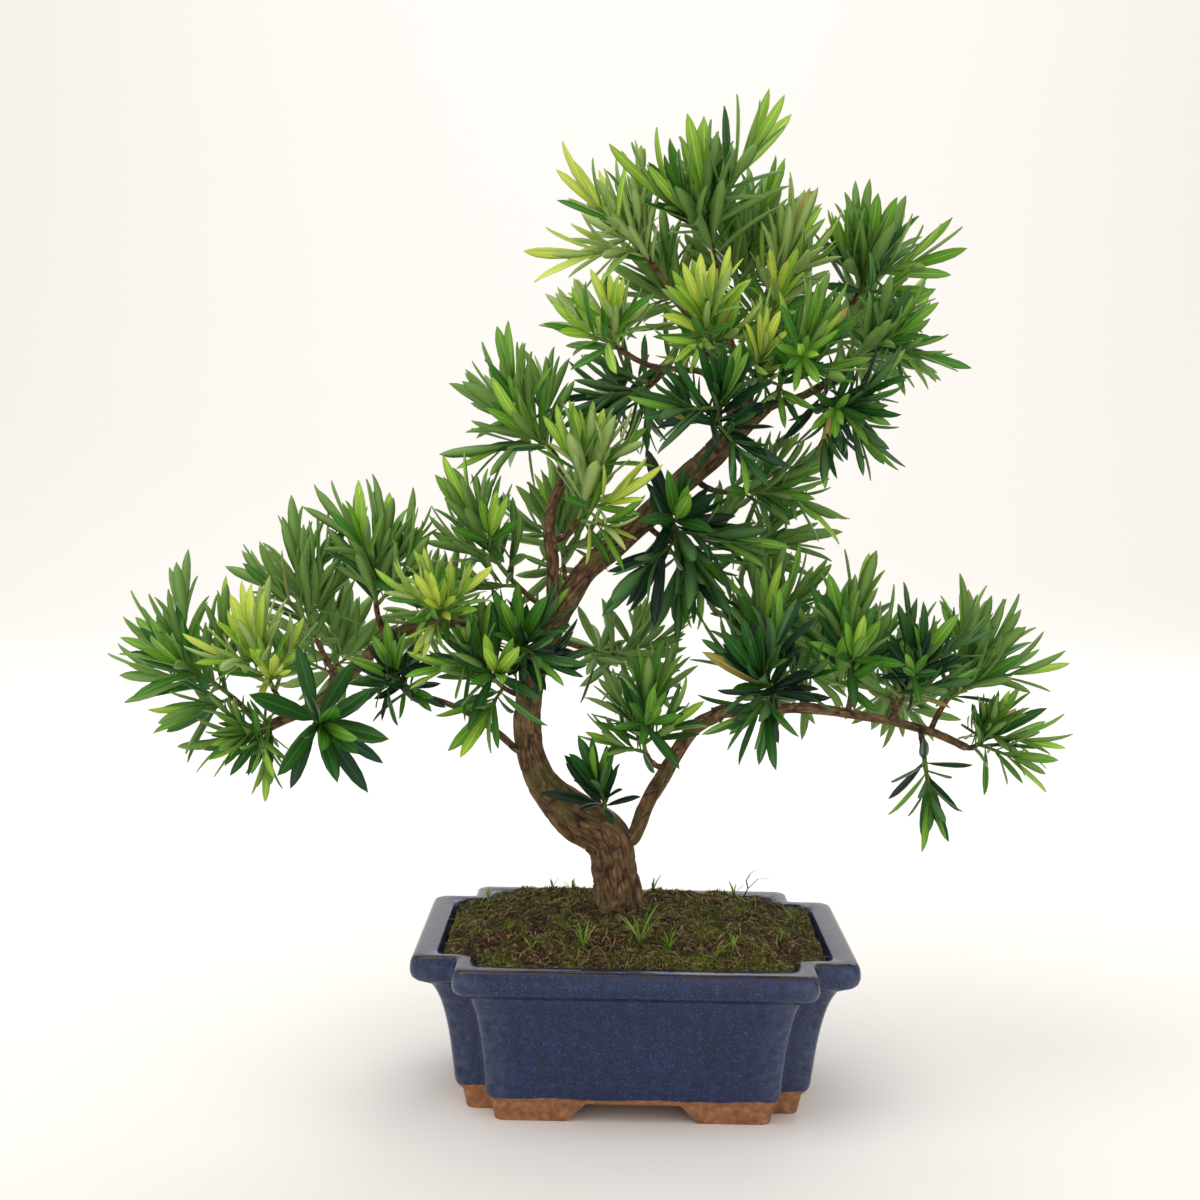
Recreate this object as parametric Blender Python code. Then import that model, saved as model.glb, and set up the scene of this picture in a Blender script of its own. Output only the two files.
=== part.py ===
"""Buddhist pine bonsai growing in a glazed rectangular pot with notched corners.

The pot, the soil in it, the trunk, each bough and each mass of leaves is an
object of its own.  Places are in millimetres from the middle of the pot's
footprint: +X to the right, +Y to the back, +Z up.  The whole plant is then
shifted so that its own box stands centred over the origin.
"""
import math
import random

import bmesh
import bpy
import numpy as np
from mathutils import Matrix, Vector

MM = 0.001
GAP = 0.35
OBJECT_NAME = "buddhist_pine_bonsai"

# Pot: outer sizes over the rim, and the notch cut out of each corner
RIM_LENGTH = 200.0
RIM_WIDTH = 148.6
POT_HEIGHT = 73.5
NOTCH = 20.5
NOTCH_SHRINK = 0.28
WIDTH_TAPER = 0.84
CORNER_RADIUS = 4.5
HOLLOW_RADIUS = 4.0
CORNER_STEPS = 2
HOLLOW_STEPS = 1

# Outline of the wall as (inset from the rim's edge, height), from the foot up,
# over the lip, and down the inside to the floor
FOOT_TOP = 8.5
FLOOR_TOP = 15.0
UNDERSIDE = [(37.0, FOOT_TOP), (37.0, 0.0)]
OUTER_WALL = [
    (25.0, 0.0), (23.2, FOOT_TOP), (20.0, 12.5), (18.8, 21.0), (16.6, 37.0), (13.4, 50.5), (9.5, 58.5),
]
LIP = [(2.5, 62.0), (0.0, 66.0), (0.4, 71.0), (3.2, POT_HEIGHT), (9.6, POT_HEIGHT), (12.0, 71.0)]
INNER_WALL = [(19.5, 56.0), (27.0, FLOOR_TOP)]

# Gaps between the four feet, and the drain holes in the floor
FRONT_GAP_TOP = 42.0
FRONT_GAP_FOOT = 58.0
SIDE_GAP_TOP = 26.0
SIDE_GAP_FOOT = 40.0
DRAIN_DIAMETER = 12.0
DRAIN_SPACING = 70.0
DRAIN_SIDES = 16
CUT_MARGIN = 1.0

# Soil: its mound rises to a flat under the trunk
SOIL_EDGE = 70.5
SOIL_TOP = 82.0
TRUNK_FOOT = (-8.0, 12.0)
MOUND = [(0.96, 0.25), (0.62, 0.72), (0.24, 1.0)]

# Trunk: (x, y, z, diameter) at its bends, from the soil to the tip in the crown
TRUNK_BENDS = [
    (-8.0, 12.0, SOIL_TOP + GAP, 24.0), (-8.0, 12.0, 87.0, 22.5), (-9.5, 12.0, 98.0, 20.5),
    (-14.0, 10.0, 114.5, 22.8), (-30.0, 8.0, 125.8, 20.2), (-45.5, 5.0, 143.0, 14.6),
    (-51.5, 3.0, 165.0, 13.0), (-50.0, 2.0, 188.0, 12.5), (-42.0, 1.0, 211.0, 11.4),
    (-27.0, -1.0, 239.5, 10.9), (-5.0, -2.0, 260.5, 11.2), (20.0, 1.0, 285.0, 10.9),
    (34.0, 3.0, 298.0, 11.6), (43.0, 5.0, 312.0, 8.0), (44.5, 6.0, 324.0, 6.2),
    (43.0, 7.0, 335.0, 4.8),
]
FLARE_HEIGHT = 12.0
FLARE_SPREAD = 0.22
FLARE_LOBES = 5
FLARE_DEPTH = 0.4
FLARE_PHASE = 1.0

# Boughs: the limb each leaves, how far along that limb, the diameters at its
# foot and tip, and the bends it passes through
BOUGHS = {
    "bough_low_right": ("trunk", 0.115, 8.0, 6.6, [
        (5.2, 6.0, 132.0), (12.6, 2.0, 145.5), (18.4, -2.0, 158.0), (26.0, -6.0, 170.0),
        (36.0, -9.0, 176.5)]),
    "bough_low_right_outer": ("bough_low_right", 1.0, 6.2, 3.8, [
        (53.5, -12.0, 180.0), (73.0, -13.0, 181.3), (90.0, -12.0, 180.0), (113.5, -8.0, 175.7),
        (135.5, -4.0, 170.3), (153.5, 0.0, 162.5)]),
    "bough_left_thin": ("trunk", 0.32, 4.2, 2.4, [
        (-64.0, -3.0, 164.5), (-75.0, -6.0, 173.0), (-86.0, -10.0, 179.0), (-100.5, -16.0, 185.0)]),
    "bough_left": ("trunk", 0.46, 7.4, 4.6, [
        (-62.5, -3.0, 217.5), (-78.5, -8.0, 218.5), (-95.5, -12.0, 217.0), (-110.0, -15.0, 213.0),
        (-121.0, -17.0, 205.0), (-132.0, -19.0, 193.5), (-147.5, -21.0, 180.0), (-165.5, -22.0, 171.0),
        (-181.5, -22.0, 162.5)]),
    "bough_upper_left": ("trunk", 0.55, 6.0, 5.0, [
        (-40.5, -9.0, 247.0), (-42.5, -10.0, 258.5), (-41.0, -10.0, 272.0), (-38.0, -9.0, 281.0)]),
    "bough_crown_left": ("trunk", 0.975, 4.4, 2.4, [
        (35.0, 1.0, 336.0), (27.7, -3.0, 344.0), (22.0, -6.0, 355.0), (13.5, -6.0, 367.5),
        (4.5, -5.0, 379.5)]),
    "bough_crown_top": ("trunk", 1.0, 4.4, 2.8, [
        (39.5, 10.0, 350.0), (35.5, 8.0, 365.5), (32.0, 6.0, 381.5)]),
    "bough_crown_yellow": ("trunk", 0.93, 3.8, 2.4, [
        (34.0, -6.0, 329.0), (25.0, -9.0, 334.0), (16.0, -10.0, 334.5), (2.0, -12.0, 336.0),
        (-10.5, -14.0, 342.0)]),
    "bough_crown_right": ("trunk", 0.905, 5.4, 3.2, [
        (57.0, -3.0, 318.5), (69.0, -5.0, 322.5), (81.0, -6.0, 329.0), (91.5, -6.0, 338.0)]),
    "bough_crown_far": ("trunk", 0.945, 4.6, 2.4, [
        (52.0, 14.0, 330.0), (61.0, 19.0, 337.5), (75.0, 21.0, 348.5), (89.0, 20.0, 359.5),
        (96.5, 18.0, 368.0)]),
}
LIMB_STEP = 8.0
FOOT_RUN = 0.4
TRUNK_ROUNDNESS = 3
BOUGH_ROUNDNESS = 1

# Foliage masses: the limb each grows from, how far along it, where the main
# stem ends, the length of a leaf, and the age of the leaves
MASSES = {
    "foliage_crown_peak": ("bough_crown_top", 1.0, (26, -4, 407), 46, "mid"),
    "foliage_crown_peak_back": ("bough_crown_top", 0.62, (49, 38, 396), 42, "mid"),
    "foliage_crown_peak_left": ("bough_crown_left", 1.0, (-9, -4, 397), 38, "young"),
    "foliage_crown_front": ("bough_crown_left", 0.38, (25, -34, 356), 32, "young"),
    "foliage_crown_heart": ("bough_crown_far", 0.42, (65, 6, 389), 36, "young"),
    "foliage_crown_right_peak": ("bough_crown_far", 1.0, (101, 10, 382), 40, "mid"),
    "foliage_crown_right_tip": ("bough_crown_right", 1.0, (108, -8, 349), 34, "mid"),
    "foliage_crown_young": ("trunk", 0.96, (51, -36, 341), 27, "young"),
    "foliage_crown_right_front": ("bough_crown_right", 0.45, (70, -34, 342), 34, "mid"),
    "foliage_crown_right_under": ("bough_crown_right", 0.72, (90, -26, 318), 33, "dark"),
    "foliage_crown_right_back": ("bough_crown_far", 0.78, (107, 52, 359), 36, "mid"),
    "foliage_crown_back": ("bough_crown_far", 0.3, (65, 62, 365), 38, "mid"),
    "foliage_crown_yellow_tip": ("bough_crown_yellow", 1.0, (-14, -16, 349), 36, "young"),
    "foliage_crown_left_back": ("bough_crown_left", 0.6, (9, 42, 378), 36, "mid"),
    "foliage_crown_front_under": ("trunk", 0.87, (33, -42, 320), 36, "dark"),
    "foliage_crown_under_right": ("trunk", 0.82, (65, 4, 286), 32, "mid"),
    "foliage_crown_under_left": ("bough_crown_yellow", 0.7, (-15, 12, 321), 34, "dark"),
    "foliage_centre_right": ("trunk", 0.72, (65, 34, 256), 34, "mid"),
    "foliage_upper_left_top": ("bough_upper_left", 0.55, (-24, -22, 292), 38, "young"),
    "foliage_upper_left_tip": ("bough_upper_left", 1.0, (-62, -4, 313), 38, "mid"),
    "foliage_upper_left_low": ("trunk", 0.53, (-76, -16, 262), 34, "mid"),
    "foliage_upper_left_back": ("trunk", 0.57, (-36, 48, 264), 35, "mid"),
    "foliage_left_far": ("bough_left", 0.93, (-206, -34, 200), 39, "mid"),
    "foliage_left_far_up": ("bough_left", 0.84, (-169, -48, 207), 32, "young"),
    "foliage_left_mid_up": ("bough_left", 0.66, (-159, 2, 238), 36, "mid"),
    "foliage_left_top": ("bough_left", 0.48, (-119, -14, 248), 38, "mid"),
    "foliage_left_young": ("bough_left", 0.31, (-89, -46, 228), 26, "young"),
    "foliage_left_star": ("bough_left", 0.77, (-136, -68, 178), 43, "dark"),
    "foliage_left_under": ("bough_left", 0.88, (-173, -48, 170), 28, "mid"),
    "foliage_left_back": ("bough_left", 0.7, (-145, 48, 202), 38, "mid"),
    "foliage_left_inner": ("trunk", 0.4, (-73, -38, 207), 38, "mid"),
    "foliage_left_inner_up": ("trunk", 0.45, (-54, -40, 213), 32, "dark"),
    "foliage_left_inner_back": ("bough_left", 0.36, (-99, 44, 220), 33, "mid"),
    "foliage_left_thin_tip": ("bough_left_thin", 1.0, (-110, -34, 197), 30, "dark"),
    "foliage_fork_front": ("trunk", 0.15, (-18, -24, 146), 30, "dark"),
    "foliage_fork_right": ("bough_low_right", 0.55, (3, -26, 183), 33, "mid"),
    "foliage_centre_weeping": ("trunk", 0.75, (20, -14, 255), 44, "dark"),
    "foliage_right_inner_up": ("bough_low_right_outer", 0.16, (59, 0, 224), 38, "mid"),
    "foliage_right_front": ("bough_low_right_outer", 0.24, (52, -50, 200), 36, "dark"),
    "foliage_right_mid": ("bough_low_right_outer", 0.5, (92, -26, 210), 38, "mid"),
    "foliage_right_outer_mid": ("bough_low_right_outer", 0.67, (125, -34, 206), 31, "dark"),
    "foliage_right_outer_up": ("bough_low_right_outer", 0.84, (160, 0, 203), 36, "mid"),
    "foliage_right_tip": ("bough_low_right_outer", 1.0, (162, -8, 172), 32, "mid"),
    "foliage_right_pendant": ("bough_low_right_outer", 0.8, (131, -34, 145), 29, "dark"),
    "foliage_right_back": ("bough_low_right_outer", 0.34, (83, 48, 199), 38, "mid"),
    "foliage_right_outer_back": ("bough_low_right_outer", 0.71, (131, 50, 189), 35, "mid"),
    "foliage_centre_back": ("trunk", 0.49, (2, 50, 193), 34, "mid"),
}

# Rule of growth inside a mass: its stem, the shoots off it, and how its leaves
# turn from nearly square at a twig's foot to nearly along it at the tip
STEM_DIAMETER = 2.8
STEM_TIP_DIAMETER = 1.8
STEM_STATIONS = (0.0, 0.15, 0.45, 0.75, 1.0)
STEM_KNEE = 0.4
SHOOTS = 1
FIRST_SHOOT = 0.5
SHOOT_SPACING = 0.2
SHOOT_TURN = math.radians(52.0)
SHOOT_LENGTH = 0.5
SHOOT_THICKNESS = 0.8
SHOOT_LEAF_SIZE = 0.85
LEAVES_ON_STEM = 8
LEAVES_ON_SHOOT = 3
LEAFY_LENGTH = 22.0
BARE_PART = 0.25
GOLDEN_ANGLE = math.radians(137.5)
WIDEST_TURN = math.radians(86.0)
NARROWEST_TURN = math.radians(16.0)
TURN_EASE = 0.8
LEAF_LIFT = 0.28
LEAF_SWING = 0.12
LEAF_LEANS = (0.8, 1.08)
LEAF_SIZES = (0.86, 1.06)
LEAF_TRIES = 9
TRY_SHRINK = 0.035

# A leaf's width and thickness over its length, where it is widest, and how far
# its root runs on past the middle of the twig
LEAF_WIDTH = 0.32
LEAF_THICKNESS = 0.026
LEAF_WIDEST = 0.62
LEAF_SINK = 0.3

# Room between one mass and the next, and between leaves and limbs
SPACE_MARGIN = 1.5
LIMB_CLEARANCE = 0.8
LIMB_SAMPLE = 1.5

# Colour, roughness and metallic value of each material
FINISHES = {
    "cobalt_glaze": ((0.012, 0.040, 0.130), 0.22, 0.0),
    "moss_and_soil": ((0.040, 0.036, 0.012), 0.95, 0.0),
    "bark": ((0.105, 0.060, 0.032), 0.90, 0.0),
    "leaf_young": ((0.270, 0.420, 0.060), 0.45, 0.0),
    "leaf_mid": ((0.075, 0.215, 0.040), 0.42, 0.0),
    "leaf_dark": ((0.018, 0.085, 0.030), 0.40, 0.0),
}


def clear_scene():
    for item in list(bpy.data.objects):
        bpy.data.objects.remove(item, do_unlink=True)


def make_material(name):
    colour, roughness, metallic = FINISHES[name]
    material = bpy.data.materials.new(name)
    material.use_nodes = True
    shader = material.node_tree.nodes["Principled BSDF"]
    shader.inputs["Base Color"].default_value = (*colour, 1.0)
    shader.inputs["Roughness"].default_value = roughness
    shader.inputs["Metallic"].default_value = metallic
    return material


def make_object(name, mesh, material, collection):
    item = bpy.data.objects.new(name, mesh)
    mesh.materials.clear()
    mesh.materials.append(material)
    collection.objects.link(item)
    return item


def mesh_from(bm, name):
    mesh = bpy.data.meshes.new(name)
    bm.to_mesh(mesh)
    bm.free()
    return mesh


# Pot and soil

def arc(centre_x, centre_y, radius, first, last, steps):
    """Points of an arc from one angle to another, in degrees."""
    points = []
    for step in range(steps + 1):
        angle = math.radians(first + (last - first) * step / steps)
        points.append((centre_x + radius * math.cos(angle), centre_y + radius * math.sin(angle)))
    return points


def notched_outline(inset):
    """Closed outline of the pot in plan, the given inset in from the rim's edge."""
    half_x = RIM_LENGTH / 2 - inset
    half_y = RIM_WIDTH / 2 - inset * WIDTH_TAPER
    notch = NOTCH - NOTCH_SHRINK * inset
    round_out = CORNER_RADIUS
    round_in = HOLLOW_RADIUS
    quarter = arc(half_x - round_out, half_y - notch - round_out, round_out, 0, 90, CORNER_STEPS)
    quarter += arc(half_x - notch + round_in, half_y - notch + round_in, round_in, 270, 180, HOLLOW_STEPS)
    quarter += arc(half_x - notch - round_out, half_y - round_out, round_out, 0, 90, CORNER_STEPS)
    half = quarter + [(-x, y) for x, y in reversed(quarter)]
    return half + [(-x, -y) for x, y in half]


def add_ring(bm, outline, height, centre=(0.0, 0.0), scale=1.0):
    """A ring of vertices; the scale pulls the outline in towards a centre."""
    ring = []
    for x, y in outline:
        place = (centre[0] + (x - centre[0]) * scale, centre[1] + (y - centre[1]) * scale, height)
        ring.append(bm.verts.new(Vector(place) * MM))
    return ring


def join_rings(bm, rings):
    """Walls between each ring and the next, and a cap on the first and last."""
    for lower, upper in zip(rings, rings[1:]):
        count = len(lower)
        for index in range(count):
            after = (index + 1) % count
            bm.faces.new((lower[index], lower[after], upper[after], upper[index]))
    bm.faces.new(list(reversed(rings[0])))
    bm.faces.new(rings[-1])
    bmesh.ops.recalc_face_normals(bm, faces=bm.faces)


def wedge(name, top_width, foot_width, length, turn, collection):
    """A cutter as long as given, wider at the foot, that opens a gap between feet."""
    bpy.ops.mesh.primitive_cube_add(size=1.0)
    cutter = bpy.context.object
    cutter.name = name
    slope = (foot_width - top_width) / 2 / FOOT_TOP
    for vertex in cutter.data.vertices:
        is_top = vertex.co.z > 0
        half = top_width / 2 if is_top else foot_width / 2 + CUT_MARGIN * slope
        vertex.co.x = math.copysign(half * MM, vertex.co.x)
        vertex.co.y = math.copysign(length / 2 * MM, vertex.co.y)
        vertex.co.z = (FOOT_TOP if is_top else -CUT_MARGIN) * MM
    cutter.rotation_euler.z = turn
    return hide_cutter(cutter, collection)


def drain_hole(name, x, collection):
    radius = DRAIN_DIAMETER / 2 * MM
    depth = (FLOOR_TOP - FOOT_TOP + 2 * CUT_MARGIN) * MM
    bpy.ops.mesh.primitive_cylinder_add(vertices=DRAIN_SIDES, radius=radius, depth=depth)
    cutter = bpy.context.object
    cutter.name = name
    cutter.location = (x * MM, 0.0, (FLOOR_TOP + FOOT_TOP) / 2 * MM)
    return hide_cutter(cutter, collection)


def hide_cutter(cutter, collection):
    for holder in list(cutter.users_collection):
        holder.objects.unlink(cutter)
    collection.objects.link(cutter)
    cutter.hide_render = True
    cutter.display_type = "WIRE"
    return cutter


def make_pot(material, parts, cutters):
    bm = bmesh.new()
    profile = UNDERSIDE + OUTER_WALL + LIP + INNER_WALL
    rings = [add_ring(bm, notched_outline(inset), height) for inset, height in profile]
    join_rings(bm, rings)
    pot = make_object("pot", mesh_from(bm, "pot"), material, parts)
    tools = [
        wedge("gap_front_to_back", FRONT_GAP_TOP, FRONT_GAP_FOOT, RIM_WIDTH, 0.0, cutters),
        wedge("gap_side_to_side", SIDE_GAP_TOP, SIDE_GAP_FOOT, RIM_LENGTH, math.pi / 2, cutters),
        drain_hole("drain_left", -DRAIN_SPACING / 2, cutters),
        drain_hole("drain_right", DRAIN_SPACING / 2, cutters),
    ]
    for tool in tools:
        cut = pot.modifiers.new(tool.name, "BOOLEAN")
        cut.operation = "DIFFERENCE"
        cut.object = tool
    pot.data.shade_smooth()
    pot.data.set_sharp_from_angle(angle=math.radians(40.0))
    return pot


def inner_inset(height):
    """How far in from the rim's edge the pot's inside wall is at a height."""
    (lip_inset, lip_height), middle, floor = LIP[-1], INNER_WALL[0], INNER_WALL[1]
    heights = [floor[1], middle[1], lip_height]
    insets = [floor[0], middle[0], lip_inset]
    return float(np.interp(height, heights, insets))


def make_soil(material, parts):
    bm = bmesh.new()
    wall = [FLOOR_TOP + GAP, INNER_WALL[0][1], SOIL_EDGE]
    rings = [add_ring(bm, notched_outline(inner_inset(height) + 2 * GAP), height) for height in wall]
    edge = notched_outline(inner_inset(SOIL_EDGE) + 2 * GAP)
    for scale, rise in MOUND:
        height = SOIL_EDGE + (SOIL_TOP - SOIL_EDGE) * rise
        rings.append(add_ring(bm, edge, height, TRUNK_FOOT, scale))
    join_rings(bm, rings)
    soil = make_object("soil", mesh_from(bm, "soil"), material, parts)
    soil.data.shade_smooth()
    soil.data.set_sharp_from_angle(angle=math.radians(50.0))
    return soil


# Limbs

def smooth_path(bends, step):
    """Points about a step apart on a smooth curve through the bends."""
    bends = np.array(bends, float)
    ends = np.vstack([2 * bends[0] - bends[1], bends, 2 * bends[-1] - bends[-2]])
    points = [bends[0]]
    for index in range(len(bends) - 1):
        before, start, stop, after = ends[index:index + 4]
        count = max(1, round(float(np.linalg.norm((stop - start)[:3])) / step))
        for part in range(1, count + 1):
            t = part / count
            bend = 2 * start + (stop - before) * t
            bend += (2 * before - 5 * start + 4 * stop - after) * t ** 2
            bend += (3 * start - before - 3 * stop + after) * t ** 3
            points.append(bend / 2)
    return np.array(points)


def at_fraction(path, fraction):
    """Centre, radius and direction of a limb, a fraction of its length along."""
    steps = np.linalg.norm(np.diff(path[:, :3], axis=0), axis=1)
    along = np.concatenate([[0.0], np.cumsum(steps)]) / steps.sum()
    here = np.array([np.interp(fraction, along, path[:, axis]) for axis in range(4)])
    index = int(np.clip(np.searchsorted(along, fraction), 1, len(path) - 1))
    direction = path[index, :3] - path[index - 1, :3]
    return here[:3], here[3], direction / np.linalg.norm(direction)


def leave_limb(path, fraction, target):
    """Where a shoot bound for the target leaves a limb, and its first direction."""
    centre, radius, direction = at_fraction(path, fraction)
    if fraction >= 1.0:
        return centre + direction * GAP, direction
    outward = np.array(target[:3], float) - centre
    outward -= direction * outward.dot(direction)
    outward /= np.linalg.norm(outward)
    return centre + outward * (radius + GAP), outward


def bough_path(limbs, name):
    host, fraction, foot_diameter, tip_diameter, bends = BOUGHS[name]
    foot, direction = leave_limb(limbs[host], fraction, bends[0])
    start = [tuple(foot), tuple(foot + direction * foot_diameter * FOOT_RUN)]
    path = smooth_path(start + list(bends), LIMB_STEP)
    steps = np.linalg.norm(np.diff(path, axis=0), axis=1)
    along = np.concatenate([[0.0], np.cumsum(steps)]) / steps.sum()
    radii = foot_diameter / 2 + (tip_diameter - foot_diameter) / 2 * along
    return np.column_stack([path, radii])


def limb_paths():
    """Path of every limb as rows of x, y, z and radius."""
    trunk = smooth_path(TRUNK_BENDS, LIMB_STEP)
    trunk[:, 3] /= 2
    limbs = {"trunk": trunk}
    for name in BOUGHS:
        limbs[name] = bough_path(limbs, name)
    return limbs


def tube_mesh(name, path, resolution):
    """Mesh of a tube with closed ends along rows of x, y, z and radius."""
    curve = bpy.data.curves.new(name, "CURVE")
    curve.dimensions = "3D"
    curve.bevel_depth = MM
    curve.bevel_resolution = resolution
    curve.use_fill_caps = True
    spline = curve.splines.new("POLY")
    spline.points.add(len(path) - 1)
    for point, (x, y, z, radius) in zip(spline.points, path):
        point.co = (x * MM, y * MM, z * MM, 1.0)
        point.radius = radius
    holder = bpy.data.objects.new(name, curve)
    bpy.context.scene.collection.objects.link(holder)
    graph = bpy.context.evaluated_depsgraph_get()
    mesh = bpy.data.meshes.new_from_object(holder.evaluated_get(graph))
    bpy.data.objects.remove(holder)
    bpy.data.curves.remove(curve)
    bm = bmesh.new()
    bm.from_mesh(mesh)
    bmesh.ops.remove_doubles(bm, verts=bm.verts, dist=0.001 * MM)
    bm.to_mesh(mesh)
    bm.free()
    return mesh


def flare_root(mesh):
    """Spread the foot of the trunk into lobes that run out over the soil."""
    foot_x, foot_y, foot_z = TRUNK_BENDS[0][:3]
    for vertex in mesh.vertices:
        rise = (vertex.co.z / MM - foot_z) / FLARE_HEIGHT
        if rise >= 1.0:
            continue
        angle = math.atan2(vertex.co.y / MM - foot_y, vertex.co.x / MM - foot_x)
        lobe = 1.0 - FLARE_DEPTH + FLARE_DEPTH * math.cos(FLARE_LOBES * angle + FLARE_PHASE)
        spread = 1.0 + FLARE_SPREAD * lobe * (1.0 - rise) ** 2
        vertex.co.x = (foot_x + (vertex.co.x / MM - foot_x) * spread) * MM
        vertex.co.y = (foot_y + (vertex.co.y / MM - foot_y) * spread) * MM


def make_limbs(limbs, material, parts):
    for name, path in limbs.items():
        is_trunk = name == "trunk"
        mesh = tube_mesh(name, path, TRUNK_ROUNDNESS if is_trunk else BOUGH_ROUNDNESS)
        if is_trunk:
            flare_root(mesh)
        limb = make_object(name, mesh, material, parts)
        limb.data.shade_smooth()
        limb.data.set_sharp_from_angle(angle=math.radians(50.0))


# Foliage

def stem_path(limbs, row):
    """Main stem of a mass: off its limb square, then bending to its own end."""
    host, fraction, tip = row[:3]
    tip = np.array(tip, float)
    foot, direction = leave_limb(limbs[host], fraction, tip)
    reach = np.linalg.norm(tip - foot)
    knee = foot + direction * reach * STEM_KNEE
    path = []
    for t in STEM_STATIONS:
        centre = foot * (1 - t) ** 2 + knee * 2 * t * (1 - t) + tip * t * t
        radius = STEM_DIAMETER / 2 + (STEM_TIP_DIAMETER - STEM_DIAMETER) / 2 * t
        path.append((*centre, radius))
    return np.array(path)


def nearest(points, targets):
    """Distance from each point to the nearest of the targets."""
    return np.linalg.norm(points[:, None] - targets[None], axis=2).min(axis=1)


class Space:
    """The room that each mass has: nearer its own stem than any other's."""

    def __init__(self, limbs):
        self.stems = {name: stem_path(limbs, row) for name, row in MASSES.items()}
        self.reach = {name: float(row[3]) for name, row in MASSES.items()}
        self.limb_points = np.vstack([smooth_path(path, LIMB_SAMPLE) for path in limbs.values()])

    def holds(self, name, points):
        own = nearest(points, self.stems[name][:, :3]) / self.reach[name]
        for other, stem in self.stems.items():
            if other == name:
                continue
            theirs = nearest(points, stem[:, :3]) / self.reach[other]
            if np.any((theirs - own) * self.reach[name] < SPACE_MARGIN):
                return False
        apart = np.linalg.norm(points[:, None] - self.limb_points[None, :, :3], axis=2)
        return bool(np.all(apart - self.limb_points[None, :, 3] > LIMB_CLEARANCE))


def side_vectors(direction):
    """Two vectors square to a direction and to each other."""
    helper = np.array([0.0, 0.0, 1.0]) if abs(direction[2]) < 0.9 else np.array([1.0, 0.0, 0.0])
    first = np.cross(direction, helper)
    first /= np.linalg.norm(first)
    return first, np.cross(direction, first)


def turned(direction, azimuth, turn):
    """A direction swung away by a turn, towards an azimuth round itself."""
    first, second = side_vectors(direction)
    outward = first * math.cos(azimuth) + second * math.sin(azimuth)
    return direction * math.cos(turn) + outward * math.sin(turn)


def blade_frame(direction, shoot):
    """Side and upper-face directions of a leaf whose face looks at its shoot."""
    up = shoot - direction * direction.dot(shoot)
    if np.linalg.norm(up) < 0.05:
        up = side_vectors(direction)[0]
    up /= np.linalg.norm(up)
    return np.cross(up, direction), up


def blade_points(root, direction, side, length):
    """Points down the middle and both edges of a leaf, from which it is tested."""
    points = []
    for part in (0.25, 0.45, LEAF_WIDEST, 0.8, 1.0):
        half = LEAF_WIDTH / 2 * length * (1.0 - abs(part - LEAF_WIDEST) / LEAF_WIDEST)
        centre = root + direction * length * part
        points += [centre, centre + side * half, centre - side * half]
    return np.array(points)


def grow_leaves(space, name, twig, count, length, chance):
    """Leaves set in a spiral along the last part of a twig, widest turned at its foot."""
    total = np.linalg.norm(np.diff(twig[:, :3], axis=0), axis=1).sum()
    start = max(BARE_PART, 1.0 - LEAFY_LENGTH / total)
    leaves = []
    azimuth = chance.uniform(0.0, math.tau)
    lift = np.array([0.0, 0.0, LEAF_LIFT if twig[-1, 2] > twig[0, 2] else 0.0])
    for index in range(count):
        part = index / max(1, count - 1)
        centre, _, shoot = at_fraction(twig, start + (1.0 - start) * part)
        turn = WIDEST_TURN + (NARROWEST_TURN - WIDEST_TURN) * part ** TURN_EASE
        azimuth += GOLDEN_ANGLE
        for attempt in range(LEAF_TRIES):
            swing = chance.uniform(-LEAF_SWING, LEAF_SWING) * (1 + attempt)
            lean = turn * chance.uniform(*LEAF_LEANS) * (1.0 - TRY_SHRINK * attempt)
            size = length * chance.uniform(*LEAF_SIZES) * (1.0 - TRY_SHRINK * attempt)
            direction = turned(shoot, azimuth + swing, lean) + lift
            direction /= np.linalg.norm(direction)
            side, up = blade_frame(direction, shoot)
            root = centre - direction * LEAF_SINK
            if space.holds(name, blade_points(root, direction, side, size)):
                leaves.append((root, direction, side, up, size))
                break
    return leaves


def grow_mass(space, name):
    """Twigs and leaves of one mass, all inside its own space."""
    leaf_length = MASSES[name][3]
    chance = random.Random(name)
    stem = space.stems[name]
    twigs = []
    leaves = grow_leaves(space, name, stem, LEAVES_ON_STEM, leaf_length, chance)
    azimuth = chance.uniform(0.0, math.tau)
    for index in range(SHOOTS):
        centre, radius, direction = at_fraction(stem, FIRST_SHOOT + SHOOT_SPACING * index)
        radius *= SHOOT_THICKNESS
        for attempt in range(LEAF_TRIES):
            azimuth += GOLDEN_ANGLE
            heading = turned(direction, azimuth, SHOOT_TURN)
            reach = SHOOT_LENGTH * leaf_length
            ends = np.array([centre + heading * reach * part for part in (0.0, 0.5, 1.0)])
            if not space.holds(name, ends[1:]):
                continue
            tip_radius = STEM_TIP_DIAMETER / 2 * SHOOT_THICKNESS
            twig = np.column_stack([ends, np.linspace(radius, tip_radius, len(ends))])
            twigs.append(twig)
            shoot_leaf = leaf_length * SHOOT_LEAF_SIZE
            leaves += grow_leaves(space, name, twig, LEAVES_ON_SHOOT, shoot_leaf, chance)
            break
    return twigs, leaves


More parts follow.
